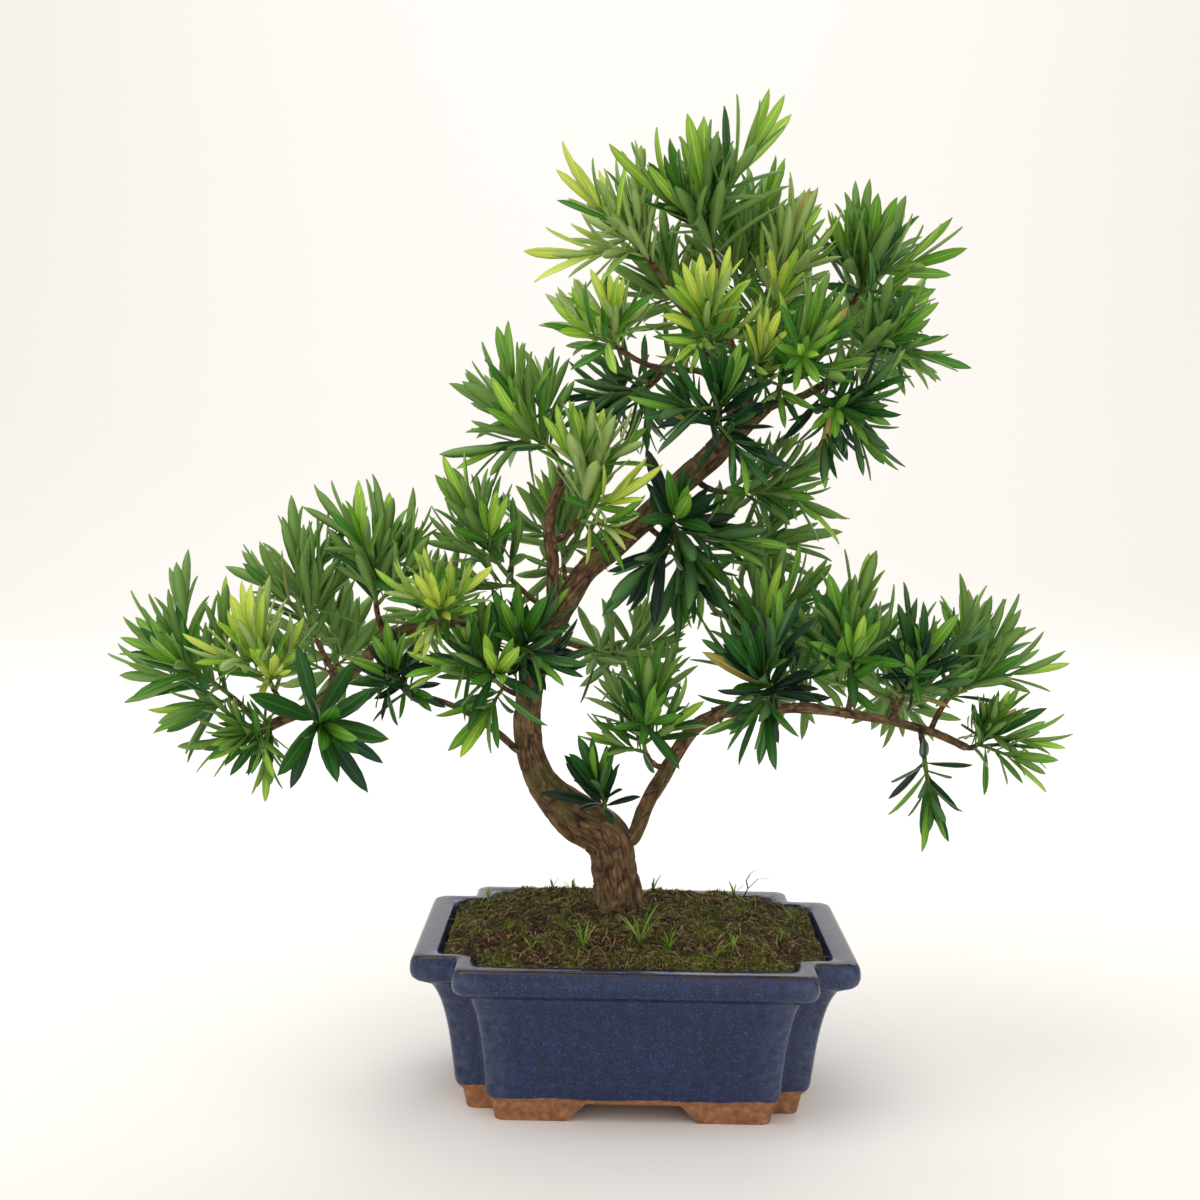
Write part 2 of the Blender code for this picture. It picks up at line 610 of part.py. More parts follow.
def leaf_object(leaf, collection):
    """A pointed blade of eight faces, widest a little beyond its middle."""
    root, direction, side, up, length = leaf
    bm = bmesh.new()
    bmesh.ops.create_uvsphere(bm, u_segments=4, v_segments=2, radius=0.5)
    for vertex in bm.verts:
        if abs(vertex.co.z) < 0.25:
            vertex.co.z = LEAF_WIDEST - 0.5
    middle = (root + direction * length / 2) * MM
    frame = np.column_stack([side * LEAF_WIDTH, up * LEAF_THICKNESS, direction]) * length * MM
    place = Matrix.Translation(middle) @ Matrix(frame.tolist()).to_4x4()
    bmesh.ops.transform(bm, matrix=place, verts=bm.verts)
    item = bpy.data.objects.new("leaf", mesh_from(bm, "leaf"))
    collection.objects.link(item)
    return item


def largest_body(mesh):
    """Keep the largest connected body of a mesh: scraps and sealed hollows go."""
    bm = bmesh.new()
    bm.from_mesh(mesh)
    waiting = set(bm.verts)
    bodies = []
    while waiting:
        body = {waiting.pop()}
        front = list(body)
        while front:
            vertex = front.pop()
            for edge in vertex.link_edges:
                other = edge.other_vert(vertex)
                if other not in body:
                    body.add(other)
                    front.append(other)
        waiting -= body
        bodies.append(body)
    largest = max(bodies, key=len)
    loose = [vertex for vertex in bm.verts if vertex not in largest]
    bmesh.ops.delete(bm, geom=loose, context="VERTS")
    bm.to_mesh(mesh)
    bm.free()


def fuse(item, collection):
    """Join everything in a collection onto an object with one union."""
    join = item.modifiers.new("join", "BOOLEAN")
    join.operation = "UNION"
    join.operand_type = "COLLECTION"
    join.collection = collection
    graph = bpy.context.evaluated_depsgraph_get()
    mesh = bpy.data.meshes.new_from_object(item.evaluated_get(graph))
    item.modifiers.clear()
    item.data = mesh
    for piece in list(collection.objects):
        bpy.data.objects.remove(piece)
    largest_body(mesh)


def make_mass(space, name, material, parts, joining):
    twigs, leaves = grow_mass(space, name)
    mass = make_object(name, tube_mesh(name, space.stems[name], 0), material, parts)
    for twig in twigs:
        joining.objects.link(bpy.data.objects.new("twig", tube_mesh("twig", twig, 0)))
    for leaf in leaves:
        leaf_object(leaf, joining)
    fuse(mass, joining)
    mass.data.materials.clear()
    mass.data.materials.append(material)
    return mass


def centre_over_origin(items, helpers):
    """Hang all objects on an empty that brings the items' common box over the origin."""
    bpy.context.view_layer.update()
    corners = [Vector(corner) for item in items for corner in item.bound_box]
    low = [min(corner[axis] for corner in corners) for axis in range(3)]
    high = [max(corner[axis] for corner in corners) for axis in range(3)]
    holder = bpy.data.objects.new("bonsai_origin", None)
    bpy.context.scene.collection.objects.link(holder)
    for item in items + helpers:
        item.parent = holder
    holder.location = (-(low[0] + high[0]) / 2, -(low[1] + high[1]) / 2, -low[2])


def main():
    clear_scene()
    parts = bpy.data.collections.new(OBJECT_NAME)
    cutters = bpy.data.collections.new("cutters")
    joining = bpy.data.collections.new("joining")
    for collection in (parts, cutters, joining):
        bpy.context.scene.collection.children.link(collection)
    materials = {name: make_material(name) for name in FINISHES}
    make_pot(materials["cobalt_glaze"], parts, cutters)
    make_soil(materials["moss_and_soil"], parts)
    limbs = limb_paths()
    make_limbs(limbs, materials["bark"], parts)
    space = Space(limbs)
    for name, row in MASSES.items():
        make_mass(space, name, materials["leaf_" + row[4]], parts, joining)
    bpy.data.collections.remove(joining)
    centre_over_origin(list(parts.objects), list(cutters.objects))


main()
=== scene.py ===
# %% [markdown]
# A small buddhist pine, a *Podocarpus*, trained as a bonsai and standing in a glazed pot.
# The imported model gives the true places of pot, soil, trunk, boughs and foliage masses.
# This lesson dresses them one by one: moulded and glazed stoneware, mossy soil, fissured
# bark, and some thousands of strap-like leaves set in upright tufts.

# %% Load the frame
import math
import random

import bmesh
import bpy
import numpy as np
from mathutils import Matrix, Vector


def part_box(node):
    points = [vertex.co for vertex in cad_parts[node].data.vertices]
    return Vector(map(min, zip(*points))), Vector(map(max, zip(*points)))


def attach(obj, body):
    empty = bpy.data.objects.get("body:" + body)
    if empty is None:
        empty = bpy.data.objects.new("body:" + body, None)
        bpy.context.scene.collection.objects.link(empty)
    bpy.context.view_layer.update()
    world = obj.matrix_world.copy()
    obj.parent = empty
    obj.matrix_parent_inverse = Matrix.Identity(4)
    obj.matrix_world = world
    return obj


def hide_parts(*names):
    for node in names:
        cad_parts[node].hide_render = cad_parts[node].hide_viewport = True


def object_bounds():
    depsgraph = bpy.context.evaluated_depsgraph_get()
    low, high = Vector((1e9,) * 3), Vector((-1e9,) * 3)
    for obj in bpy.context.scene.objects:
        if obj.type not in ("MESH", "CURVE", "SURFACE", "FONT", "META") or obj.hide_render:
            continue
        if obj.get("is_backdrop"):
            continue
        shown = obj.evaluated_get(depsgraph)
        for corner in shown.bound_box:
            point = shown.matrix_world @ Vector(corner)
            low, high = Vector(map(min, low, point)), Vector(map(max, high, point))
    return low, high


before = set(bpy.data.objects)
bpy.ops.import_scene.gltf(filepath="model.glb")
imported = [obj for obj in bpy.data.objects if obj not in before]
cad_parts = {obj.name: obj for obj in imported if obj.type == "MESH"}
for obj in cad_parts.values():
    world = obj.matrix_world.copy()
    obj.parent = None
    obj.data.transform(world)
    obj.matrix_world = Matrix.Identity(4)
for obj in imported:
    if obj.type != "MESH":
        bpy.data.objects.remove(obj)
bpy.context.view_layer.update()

MM = 0.001
pot_low, pot_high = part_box("pot")
POT = Vector(((pot_low.x + pot_high.x) / 2, (pot_low.y + pot_high.y) / 2, 0.0))
print("frame:", len(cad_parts), "nodes; pot middle at", [round(v / MM, 1) for v in POT], "mm")

# %% [markdown]
# The camera looks slightly down on the pot from a little to its left. Its place and its
# three directions come from fitting the rim, the notches and the feet of the pot, whose
# size is known, to where they appear. A square picture with a 36 mm sensor needs a 50 mm lens.
# The plain view transform keeps the bright, clear look of a plant shot on white paper.

# %% Camera
CAMERA_PLACE = Vector((-15.20, -778.90, 291.36)) * MM
CAMERA_RIGHT = Vector((0.999825, 0.005936, 0.017741))
CAMERA_UP = Vector((-0.018162, 0.080618, 0.996580))
LENS = 50.44
SENSOR = 36.0

camera = bpy.data.objects.new("camera", bpy.data.cameras.new("camera"))
bpy.context.scene.collection.objects.link(camera)
camera.data.lens = LENS
camera.data.sensor_width = SENSOR
camera_back = CAMERA_RIGHT.cross(CAMERA_UP)
camera.matrix_world = Matrix.Translation(CAMERA_PLACE + POT) @ Matrix(
    (CAMERA_RIGHT, CAMERA_UP, camera_back)).transposed().to_4x4()
bpy.context.scene.camera = camera
bpy.context.scene.view_settings.view_transform = "Standard"
print("camera at", [round(v, 3) for v in camera.location])

# %% [markdown]
# Four small helpers serve every finish: one turns a colour as it is picked from a picture
# (sRGB, written as hex) into the linear numbers that shaders use, one turns a real size
# into a pattern's scale, one adds a shader node with its settings and links, and one
# starts a material.

# %% Material helpers
def colour(code):
    """Linear red, green, blue and alpha of an sRGB hex colour."""
    channels = [int(code[place:place + 2], 16) / 255 for place in (1, 3, 5)]
    linear = [c / 12.92 if c <= 0.04045 else ((c + 0.055) / 1.055) ** 2.4 for c in channels]
    return (*linear, 1.0)


def scale_of(size):
    """Scale of a pattern whose lumps are about so many millimetres across."""
    return 1.0 / (size * MM)


def add_node(material, kind, inputs=None, output=0, stops=(), **settings):
    """Add a node with its settings, set or link its inputs, and return one of its outputs."""
    made = material.node_tree.nodes.new(kind)
    for name, value in settings.items():
        setattr(made, name, value)
    for index, (position, code) in enumerate(stops):
        if index >= len(made.color_ramp.elements):
            made.color_ramp.elements.new(position)
        made.color_ramp.elements[index].position = position
        made.color_ramp.elements[index].color = colour(code)
    for socket, value in (inputs or {}).items():
        if isinstance(value, bpy.types.NodeSocket):
            material.node_tree.links.new(value, made.inputs[socket])
        else:
            made.inputs[socket].default_value = value
    return made.outputs[output]


def new_material(name, **values):
    """A material whose shader's own sockets take the given values."""
    material = bpy.data.materials.new(name)
    material.use_nodes = True
    shader = material.node_tree.nodes["Principled BSDF"]
    for socket, value in values.items():
        shader.inputs[socket.replace("_", " ")].default_value = value
    return material, shader


print("material helpers ready")

# %% [markdown]
# Cobalt stoneware glaze: a dark blue glass fired over brown clay. It is thick and deep on
# the walls, mottled, with fine pale specks and faint runs down the wall. Where it thins on
# the lip the clay shows through brown. The pale grey lines on the wall's outward corners
# are glaze worn thin there and also a painted highlight along the rounded edges. The glaze
# stops short of the foot in a wavy line, under which the bare clay is a smooth tan.

# %% Cobalt glaze
GLAZE_FROM = 12.8
GLAZE_FULL = 13.6
GLAZE_WAVE = 3.5
GLAZE_NOISE = {
    "mottle": (2.2, 5.0), "speck": (0.7, 1.0), "wear": (4.0, 3.0), "lip": (6.0, 4.0),
    "foot": (14.0, 3.0), "clay": (3.0, 5.0), "wave": (7.0, 3.0), "grit": (1.2, 3.0),
}
# Noise, where it starts and where it is full, most cover, mark on the mesh, colour.
GLAZE_LAYERS = [
    ("speck", 0.60, 0.74, 0.3, None, "#6f92b4"),
    # Pale lines on the outward corners: glaze worn thin, and a painted highlight along the edges.
    ("wear", 0.25, 0.75, 0.45, "ridge_highlight", "#56617a"),
    ("lip", 0.36, 0.54, 0.75, "lip_line", "#3a2a20"),
]

glaze, glaze_shader = new_material("cobalt_glaze_fired_stoneware", IOR=1.5)
place = add_node(glaze, "ShaderNodeTexCoord", output="Object")
noise = {}
for name, (size, detail) in GLAZE_NOISE.items():
    noise[name] = add_node(glaze, "ShaderNodeTexNoise", {
        "Vector": place, "Scale": scale_of(size), "Detail": detail, "Roughness": 0.55})
down_wall = add_node(glaze, "ShaderNodeMapping", {"Vector": place, "Scale": (1.0, 1.0, 0.12)})
runs = add_node(glaze, "ShaderNodeTexNoise", {
    "Vector": down_wall, "Scale": scale_of(3.0), "Detail": 3.0, "Roughness": 0.55})
tone = add_node(glaze, "ShaderNodeMix", {"Factor": 0.4, 2: noise["mottle"], 3: runs})
blue = add_node(glaze, "ShaderNodeValToRGB", {"Fac": tone}, stops=[
    (0.30, "#050e2a"), (0.46, "#081a42"), (0.57, "#0c2452"), (0.72, "#173a6c")])
for name, low, high, most, mark, code in GLAZE_LAYERS:
    share = add_node(glaze, "ShaderNodeMapRange", {
        "Value": noise[name], "From Min": low, "From Max": high, "To Max": most},
        interpolation_type="SMOOTHSTEP")
    if mark:
        marked = add_node(glaze, "ShaderNodeAttribute", output="Fac", attribute_name=mark)
        share = add_node(glaze, "ShaderNodeMath", {0: marked, 1: share}, operation="MULTIPLY")
    blue = add_node(glaze, "ShaderNodeMix", {"Factor": share, 6: blue, 7: colour(code)},
                    output=2, data_type="RGBA")
height = add_node(glaze, "ShaderNodeSeparateXYZ", {"Vector": place}, output="Z")
wavy_height = add_node(glaze, "ShaderNodeMath", {
    0: noise["foot"], 1: GLAZE_WAVE * MM, 2: height}, operation="MULTIPLY_ADD")
glazed = add_node(glaze, "ShaderNodeMapRange", {
    "Value": wavy_height, "From Min": GLAZE_FROM * MM, "From Max": GLAZE_FULL * MM},
    interpolation_type="SMOOTHSTEP")
clay = add_node(glaze, "ShaderNodeValToRGB", {"Fac": noise["clay"]}, stops=[
    (0.3, "#7c5233"), (0.55, "#a46f47"), (0.75, "#bd8a60")])
skin = add_node(glaze, "ShaderNodeMix", {"Factor": glazed, 6: clay, 7: blue}, output=2, data_type="RGBA")
roughness = add_node(glaze, "ShaderNodeMapRange", {"Value": glazed, "To Min": 0.6867, "To Max": 0.1845})
relief = add_node(glaze, "ShaderNodeMath", {0: noise["grit"], 1: 0.25, 2: noise["wave"]},
                  operation="MULTIPLY_ADD")
bumped = add_node(glaze, "ShaderNodeBump", {"Height": relief, "Strength": 0.35, "Distance": 0.5 * MM})
for socket, source in (("Base Color", skin), ("Roughness", roughness), ("Normal", bumped)):
    glaze.node_tree.links.new(source, glaze_shader.inputs[socket])
print("made", glaze.name)

# %% [markdown]
# The pot was pressed in a mould: a rectangle whose corners are cut back in a notch, a wall
# that flares in a hollow curve to a rolled lip, and four feet. One ring of vertices, a
# circle primitive laid on the notched outline, is extruded up the wall, over the lip and
# down the inside, and laid again at each height. The foot gaps are cut with wedges, and a
# bevel softens the cut edges.

# %% Outline of the pot
RIM_LENGTH = 200.0
RIM_WIDTH = 148.6
POT_HEIGHT = 73.5
NOTCH = 20.5
NOTCH_SHRINK = 0.28
WIDTH_TAPER = 0.84
CORNER_RADIUS = 4.5
HOLLOW_RADIUS = 4.0
INNER_ROUND = (8.5, 7.5)
INNER_RINGS = 6
ARC_STEPS = 6
FLAT_STEPS = 6
FOOT_TOP = 8.5
FLOOR_TOP = 15.0
# Inset from the rim and height: the foot, the wall, over the lip, and down the inside.
WALL = [
    (37.0, FOOT_TOP), (37.0, 0.0), (25.0, 0.0), (23.2, FOOT_TOP), (20.0, 12.5), (18.8, 21.0), (16.6, 37.0),
    (13.4, 50.5), (9.5, 58.5), (6.0, 60.6), (2.5, 62.0), (0.8, 63.6), (0.0, 66.0), (0.0, 68.6), (0.4, 71.0),
    (1.4, 72.8), (3.2, POT_HEIGHT), (6.4, POT_HEIGHT), (9.6, POT_HEIGHT), (11.3, 72.6), (12.0, 71.0),
    (14.5, 65.0), (19.5, 56.0), (27.0, FLOOR_TOP),
]
SMOOTH_FROM, SMOOTH_TO = 3, 9
SMOOTH_STEPS = 4
WALL_INSET = 24.0
LIP_FROM = 72.0
LIP_INSET = 5.0


def arc(x, y, radius, first, last):
    """Points of an arc from one angle to another, in degrees."""
    angles = np.radians(np.linspace(first, last, ARC_STEPS + 1))
    return [(x + radius * math.cos(a), y + radius * math.sin(a)) for a in angles]


def notched_outline(inset, corner=CORNER_RADIUS, hollow=HOLLOW_RADIUS):
    """Points of the pot's outline in plan, and which of them lie on an outward corner."""
    half_x = RIM_LENGTH / 2 - inset
    half_y = RIM_WIDTH / 2 - inset * WIDTH_TAPER
    notch = NOTCH - NOTCH_SHRINK * inset
    side_y = half_y - notch
    front_x = half_x - notch
    quarter = [(half_x, side_y * step / FLAT_STEPS * 0.9) for step in range(FLAT_STEPS)]
    flags = [0.0] * len(quarter)
    quarter += arc(half_x - corner, side_y - corner, corner, 0, 90)
    flags += [1.0] * (ARC_STEPS + 1)
    quarter += arc(front_x + hollow, side_y + hollow, hollow, 270, 180)
    flags += [0.0] * (ARC_STEPS + 1)
    quarter += arc(front_x - corner, half_y - corner, corner, 0, 90)
    flags += [1.0] * (ARC_STEPS + 1)
    quarter += [((front_x - corner) * (1 - step / FLAT_STEPS), half_y) for step in range(1, FLAT_STEPS + 1)]
    flags += [0.0] * FLAT_STEPS
    half = quarter + [(-x, y) for x, y in reversed(quarter[1:-1])]
    flags = flags + list(reversed(flags[1:-1]))
    points = half + [(-half_x, 0.0)] + [(-x, -y) for x, y in half[1:]]
    return np.array(points), np.array(flags + [0.0] + flags[1:])


def in_order(points):
    """Order of points by their angle round the pot's middle."""
    return np.argsort(np.arctan2(points[:, 1], points[:, 0]), kind="stable")


def smooth_profile():
    """The wall's profile with its hollow flare drawn as a smooth curve."""
    bends = np.array(WALL[SMOOTH_FROM:SMOOTH_TO + 1])
    curve = smooth_path(bends, SMOOTH_STEPS)
    return WALL[:SMOOTH_FROM] + [tuple(point) for point in curve] + WALL[SMOOTH_TO + 1:]


def smooth_path(bends, steps):
    """Points on a smooth curve through the bends, the same number between each two."""
    ends = np.vstack([2 * bends[0] - bends[1], bends, 2 * bends[-1] - bends[-2]])
    points = [bends[0]]
    for index in range(len(bends) - 1):
        before, start, stop, after = ends[index:index + 4]
        for t in np.arange(1, steps + 1) / steps:
            bend = 2 * start + (stop - before) * t
            bend = bend + (2 * before - 5 * start + 4 * stop - after) * t ** 2
            bend = bend + (3 * start - before - 3 * stop + after) * t ** 3
            points.append(bend / 2)
    return np.array(points)


print("outline of", len(notched_outline(0.0)[0]), "points, profile of", len(smooth_profile()), "heights")

# %% [markdown]
# Clay pressed into a mould takes the whole wall in one piece, so the wall is one surface
# here too: a ring, extruded upward and set on the outline at each height. Two marks go with
# its points: one for the corners, where the glaze is worn thin and a highlight is painted,
# and one for the line along the lip.

# %% Extrude the pot
def deselect():
    """Leave edit mode and select nothing."""
    if bpy.context.object and bpy.context.object.mode == "EDIT":
        bpy.ops.object.mode_set(mode="OBJECT")
    bpy.ops.object.select_all(action="DESELECT")


def settle(item, name, material, node):
    """Name a finished piece, give it its material, and stand it in for a node."""
    deselect()
    item.name = name
    item.data.name = name
    if material:
        item.data.materials.clear()
        item.data.materials.append(material)
    item.select_set(True)
    bpy.context.view_layer.objects.active = item
    bpy.ops.object.transform_apply(location=True, rotation=True, scale=True)
    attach(item, "root")
    if node:
        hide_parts(*([node] if isinstance(node, str) else node))
    print(name, "has", len(item.data.polygons), "faces")
    return item


def turn_outwards(item):
    """Make every face of a piece point outwards, and leave it selected."""
    deselect()
    item.select_set(True)
    bpy.context.view_layer.objects.active = item
    bpy.ops.object.mode_set(mode="EDIT")
    bpy.ops.mesh.select_all(action="SELECT")
    bpy.ops.mesh.normals_make_consistent(inside=False)
    bpy.ops.object.mode_set(mode="OBJECT")


profile = smooth_profile()
outline_points, corner_flags = notched_outline(0.0)
corner_flags = corner_flags[in_order(outline_points)]
deselect()
bpy.ops.mesh.primitive_circle_add(vertices=len(outline_points), radius=0.1, location=POT)
pot = bpy.context.object
bpy.ops.object.mode_set(mode="EDIT")
for step, (inset, height) in enumerate(profile):
    if step:
        bpy.ops.mesh.extrude_region_move(TRANSFORM_OT_translate={"value": (0, 0, 0.001)})
    bm = bmesh.from_edit_mesh(pot.data)
    ridge_highlight_layer = bm.verts.layers.float.get("ridge_highlight") or bm.verts.layers.float.new("ridge_highlight")
    lip_layer = bm.verts.layers.float.get("lip_line") or bm.verts.layers.float.new("lip_line")
    bm.verts.ensure_lookup_table()
    ring = [vertex for vertex in bm.verts if vertex.select]
    places = np.array([vertex.co[:2] for vertex in ring])
    inside = step > len(profile) - INNER_RINGS
    target = notched_outline(inset, *(INNER_ROUND if inside else (CORNER_RADIUS, HOLLOW_RADIUS)))[0]
    target = target[in_order(target)]
    on_wall = FOOT_TOP < height < POT_HEIGHT - 1 and inset < WALL_INSET
    on_lip = height > LIP_FROM and inset < LIP_INSET
    for rank, index in enumerate(in_order(places)):
        vertex = ring[index]
        vertex.co = (target[rank][0] * MM, target[rank][1] * MM, height * MM)
        # The corner mark carries the worn glaze and the painted highlight.
        vertex[ridge_highlight_layer] = corner_flags[rank] if on_wall else 0.0
        vertex[lip_layer] = 1.0 if on_lip else 0.0
    bmesh.update_edit_mesh(pot.data)
bpy.ops.mesh.edge_face_add()
bpy.ops.mesh.select_all(action="DESELECT")
bpy.ops.mesh.select_non_manifold()
bpy.ops.mesh.edge_face_add()
turn_outwards(pot)
print("pot wall of", len(pot.data.polygons), "faces")

# %% [markdown]
# The feet: a shallow opening is left between each two, so the pot stands on its corners and
# water runs off beneath it. A wedge taken out of the wall's foot leaves the same gap, and a
# bevel rounds the cut edges, as glaze and firing do.

# %% Cut the foot gaps and soften their edges
# Name, width at the top and at the foot, length of the wedge, and its turn.
FOOT_GAPS = [("front", 42.0, 58.0, RIM_WIDTH, 0.0), ("side", 26.0, 40.0, RIM_LENGTH, math.pi / 2)]
WEDGE_BELOW = 1.0
WEDGE_SPREAD = 2.0
EDGE_ROUND = 0.8
BEVEL_FROM = math.radians(38.0)
SMOOTH_UNDER = math.radians(35.0)


def gap_wedge(name, top, foot, length, turn):
    """A long wedge, wider at the foot, from a cube whose lower side is widened."""
    deselect()
    bpy.ops.mesh.primitive_cube_add(size=1.0, location=(POT.x, POT.y, 0.0), rotation=(0.0, 0.0, turn))
    cutter = bpy.context.object
    cutter.name = "wedge_" + name
    for vertex in cutter.data.vertices:
        half = (top if vertex.co.z > 0 else foot + WEDGE_SPREAD) / 2
        vertex.co.x = math.copysign(half * MM, vertex.co.x)
        vertex.co.y = math.copysign(length / 2 * MM, vertex.co.y)
        vertex.co.z = (FOOT_TOP if vertex.co.z > 0 else -WEDGE_BELOW) * MM
    return cutter


for gap in FOOT_GAPS:
    wedge = gap_wedge(*gap)
    cut = pot.modifiers.new("gap", "BOOLEAN")
    cut.operation = "DIFFERENCE"
    cut.object = wedge
    deselect()
    pot.select_set(True)
    bpy.context.view_layer.objects.active = pot
    bpy.ops.object.modifier_apply(modifier="gap")
    bpy.data.objects.remove(wedge)
soften = pot.modifiers.new("soften", "BEVEL")
soften.width = EDGE_ROUND * MM
soften.segments = 2
soften.limit_method = "ANGLE"
soften.angle_limit = BEVEL_FROM
bpy.ops.object.modifier_apply(modifier="soften")
bpy.ops.object.shade_smooth_by_angle(angle=SMOOTH_UNDER)
settle(pot, "glazed_pot", glaze, "pot")

# %% [markdown]
# Soil under moss: dark crumbs of earth, with olive and brown cushions of moss over them.
# A grid is cut to the inside of the pot, lifted into a mound that peaks at the trunk, and
# roughened with noise in three sizes. Then loose fibres and crumbs are scattered over it.

# %% Smooth noise for shapes
def lattice_noise(points, seed):
    """Value noise from -1 to 1 at rows of x, y, z, with one lump to a unit."""
    base = np.floor(points).astype(np.int64)
    part = points - base
    part = part * part * (3 - 2 * part)
    total = np.zeros(len(points))
    for corner in np.ndindex(2, 2, 2):
        cell = base + np.array(corner)
        key = cell[:, 0] * 73856093 ^ cell[:, 1] * 19349663 ^ cell[:, 2] * 83492791 ^ seed * 2654435761
        key = (key & 0xFFFFFFFF) * 1274126177 & 0xFFFFFFFF
        key = ((key ^ (key >> 15)) * 2246822519) & 0xFFFFFFFF
        value = ((key ^ (key >> 13)) & 0xFFFF) / 32767.5 - 1.0
        weight = np.prod(np.where(np.array(corner) == 1, part, 1 - part), axis=1)
        total += value * weight
    return total


def moss_height(x, y):
    """Height of the moss over the table, in millimetres, at places round the pot's middle."""
    reach = np.interp(np.arctan2(y, x), soil_angles, soil_reach)
    inward = np.clip(1.0 - np.hypot(x, y) / reach, 0.0, 1.0)
    trunk = np.hypot(x - TRUNK_FOOT[0], y - TRUNK_FOOT[1])
    mound = SOIL_EDGE + (SOIL_TOP - SOIL_EDGE) * np.clip(inward * 2.0 + 0.1, 0.0, 1.0) ** 0.8
    mound = mound - np.clip(trunk - 20.0, 0.0, 60.0) * 0.02
    points = np.column_stack([x, y, np.zeros(len(x))])
    rough = sum(rise * lattice_noise(points / size, seed) for size, rise, seed in MOSS_LUMPS)
    return mound + rough


SOIL_EDGE = 71.0
SOIL_TOP = 82.0
SOIL_UNDER = 58.0
# Width of a lump and its rise, in millimetres, and the seed of its noise.
MOSS_LUMPS = [(11.0, 1.2, 3), (4.2, 1.3, 4), (1.7, 0.9, 5)]
TRUNK_FOOT = (-8.0, 12.0)
soil_outline = notched_outline(13.5, 7.0, 6.0)[0]
soil_order = in_order(soil_outline)
soil_angles = np.arctan2(soil_outline[soil_order, 1], soil_outline[soil_order, 0])
soil_reach = np.hypot(soil_outline[soil_order, 0], soil_outline[soil_order, 1])
print("soil reaches", round(float(soil_reach.max())), "mm from the pot's middle")

# %% [markdown]
# Moss on the real pot is a thin skin over crumbled earth, so colour goes by patches, brown
# in some and olive in others, and one fine grain breaks up both. The grid is trimmed to the
# pot's inside, and its edge is extruded down and closed below.

# %% Moss and soil
moss, moss_shader = new_material("moss_over_crumbled_soil", Roughness=0.95, IOR=1.4)
place = add_node(moss, "ShaderNodeTexCoord", output="Object")
noise = {}
for name, (size, detail, roughness) in {"fine": (1.6, 6.0, 0.7), "patch": (16.0, 4.0, 0.55),
                                        "bump": (1.2, 6.0, 0.75)}.items():
    noise[name] = add_node(moss, "ShaderNodeTexNoise", {
        "Vector": place, "Scale": scale_of(size), "Detail": detail, "Roughness": roughness})
patches = add_node(moss, "ShaderNodeMapRange", {
    "Value": noise["patch"], "From Min": 0.42, "From Max": 0.60}, interpolation_type="SMOOTHSTEP")
earth = add_node(moss, "ShaderNodeValToRGB", {"Fac": noise["fine"]}, stops=[
    (0.34, "#120c07"), (0.48, "#3a2a1a"), (0.58, "#73553a"), (0.70, "#b5946a")])
green = add_node(moss, "ShaderNodeValToRGB", {"Fac": noise["fine"]}, stops=[
    (0.30, "#20240c"), (0.46, "#4c501a"), (0.58, "#757828"), (0.74, "#a8a64a")])
cover = add_node(moss, "ShaderNodeMix", {"Factor": patches, 6: earth, 7: green}, output=2, data_type="RGBA")
bumped = add_node(moss, "ShaderNodeBump", {"Height": noise["bump"], "Strength": 1.0, "Distance": 1.4 * MM})
moss.node_tree.links.new(cover, moss_shader.inputs["Base Color"])
moss.node_tree.links.new(bumped, moss_shader.inputs["Normal"])

SOIL_CELL = 0.95
deselect()
bpy.ops.mesh.primitive_grid_add(x_subdivisions=round(RIM_LENGTH / SOIL_CELL),
                                y_subdivisions=round(RIM_WIDTH / SOIL_CELL), size=1.0, location=POT)
soil = bpy.context.object
flat = np.array([vertex.co[:2] for vertex in soil.data.vertices]) * np.array([RIM_LENGTH, RIM_WIDTH])
wall_reach = np.interp(np.arctan2(flat[:, 1], flat[:, 0]), soil_angles, soil_reach)
outside = np.hypot(flat[:, 0], flat[:, 1]) > wall_reach
soil_places = np.column_stack([flat, moss_height(flat[:, 0], flat[:, 1])]) * MM
soil.data.vertices.foreach_set("co", soil_places.ravel())
bpy.ops.object.mode_set(mode="EDIT")
bpy.ops.mesh.select_mode(type="VERT")
bpy.ops.mesh.select_all(action="DESELECT")
bpy.ops.object.mode_set(mode="OBJECT")
soil.data.vertices.foreach_set("select", outside)
bpy.ops.object.mode_set(mode="EDIT")
bpy.ops.mesh.delete(type="VERT")
bpy.ops.mesh.select_all(action="DESELECT")
bpy.ops.mesh.select_non_manifold()
bpy.ops.mesh.extrude_edges_move(TRANSFORM_OT_translate={"value": (0, 0, -0.01)})
bpy.ops.transform.resize(value=(1.0, 1.0, 0.0), center_override=(POT.x, POT.y, SOIL_UNDER * MM))
bpy.ops.mesh.edge_face_add()
turn_outwards(soil)
bpy.ops.object.shade_smooth()
settle(soil, "mossy_soil", moss, "soil")

# %% [markdown]
# Bark: the trunk and boughs are old wood, brown and fibrous, split lengthwise by narrow
# fissures, with moss where it stays damp. The fissures are darkened towards their depth,
# as painted shade. Each limb starts as a flat grid, like a sheet of bark, which is rolled
# round the limb's path. The relief is noise stretched along the grain, so each limb keeps
# its true taper under it.

# %% Bark
GRAIN_STRETCH = (1.0, 1.0, 0.22)
FULL_RELIEF_RADIUS = 9.0
LEAST_RELIEF = 0.35
# Width and length of the bark's lumps, plates and strands, and the seed of each noise.
BARK_SIZES = [(9.0, 13.0, 11), (3.0, 9.0, 12), (1.3, 5.0, 13)]
FISSURE_SHARPNESS = 5.0
FISSURE_DEPTH = 0.7
LEAST_AROUND, LEAST_ALONG = 16, 8

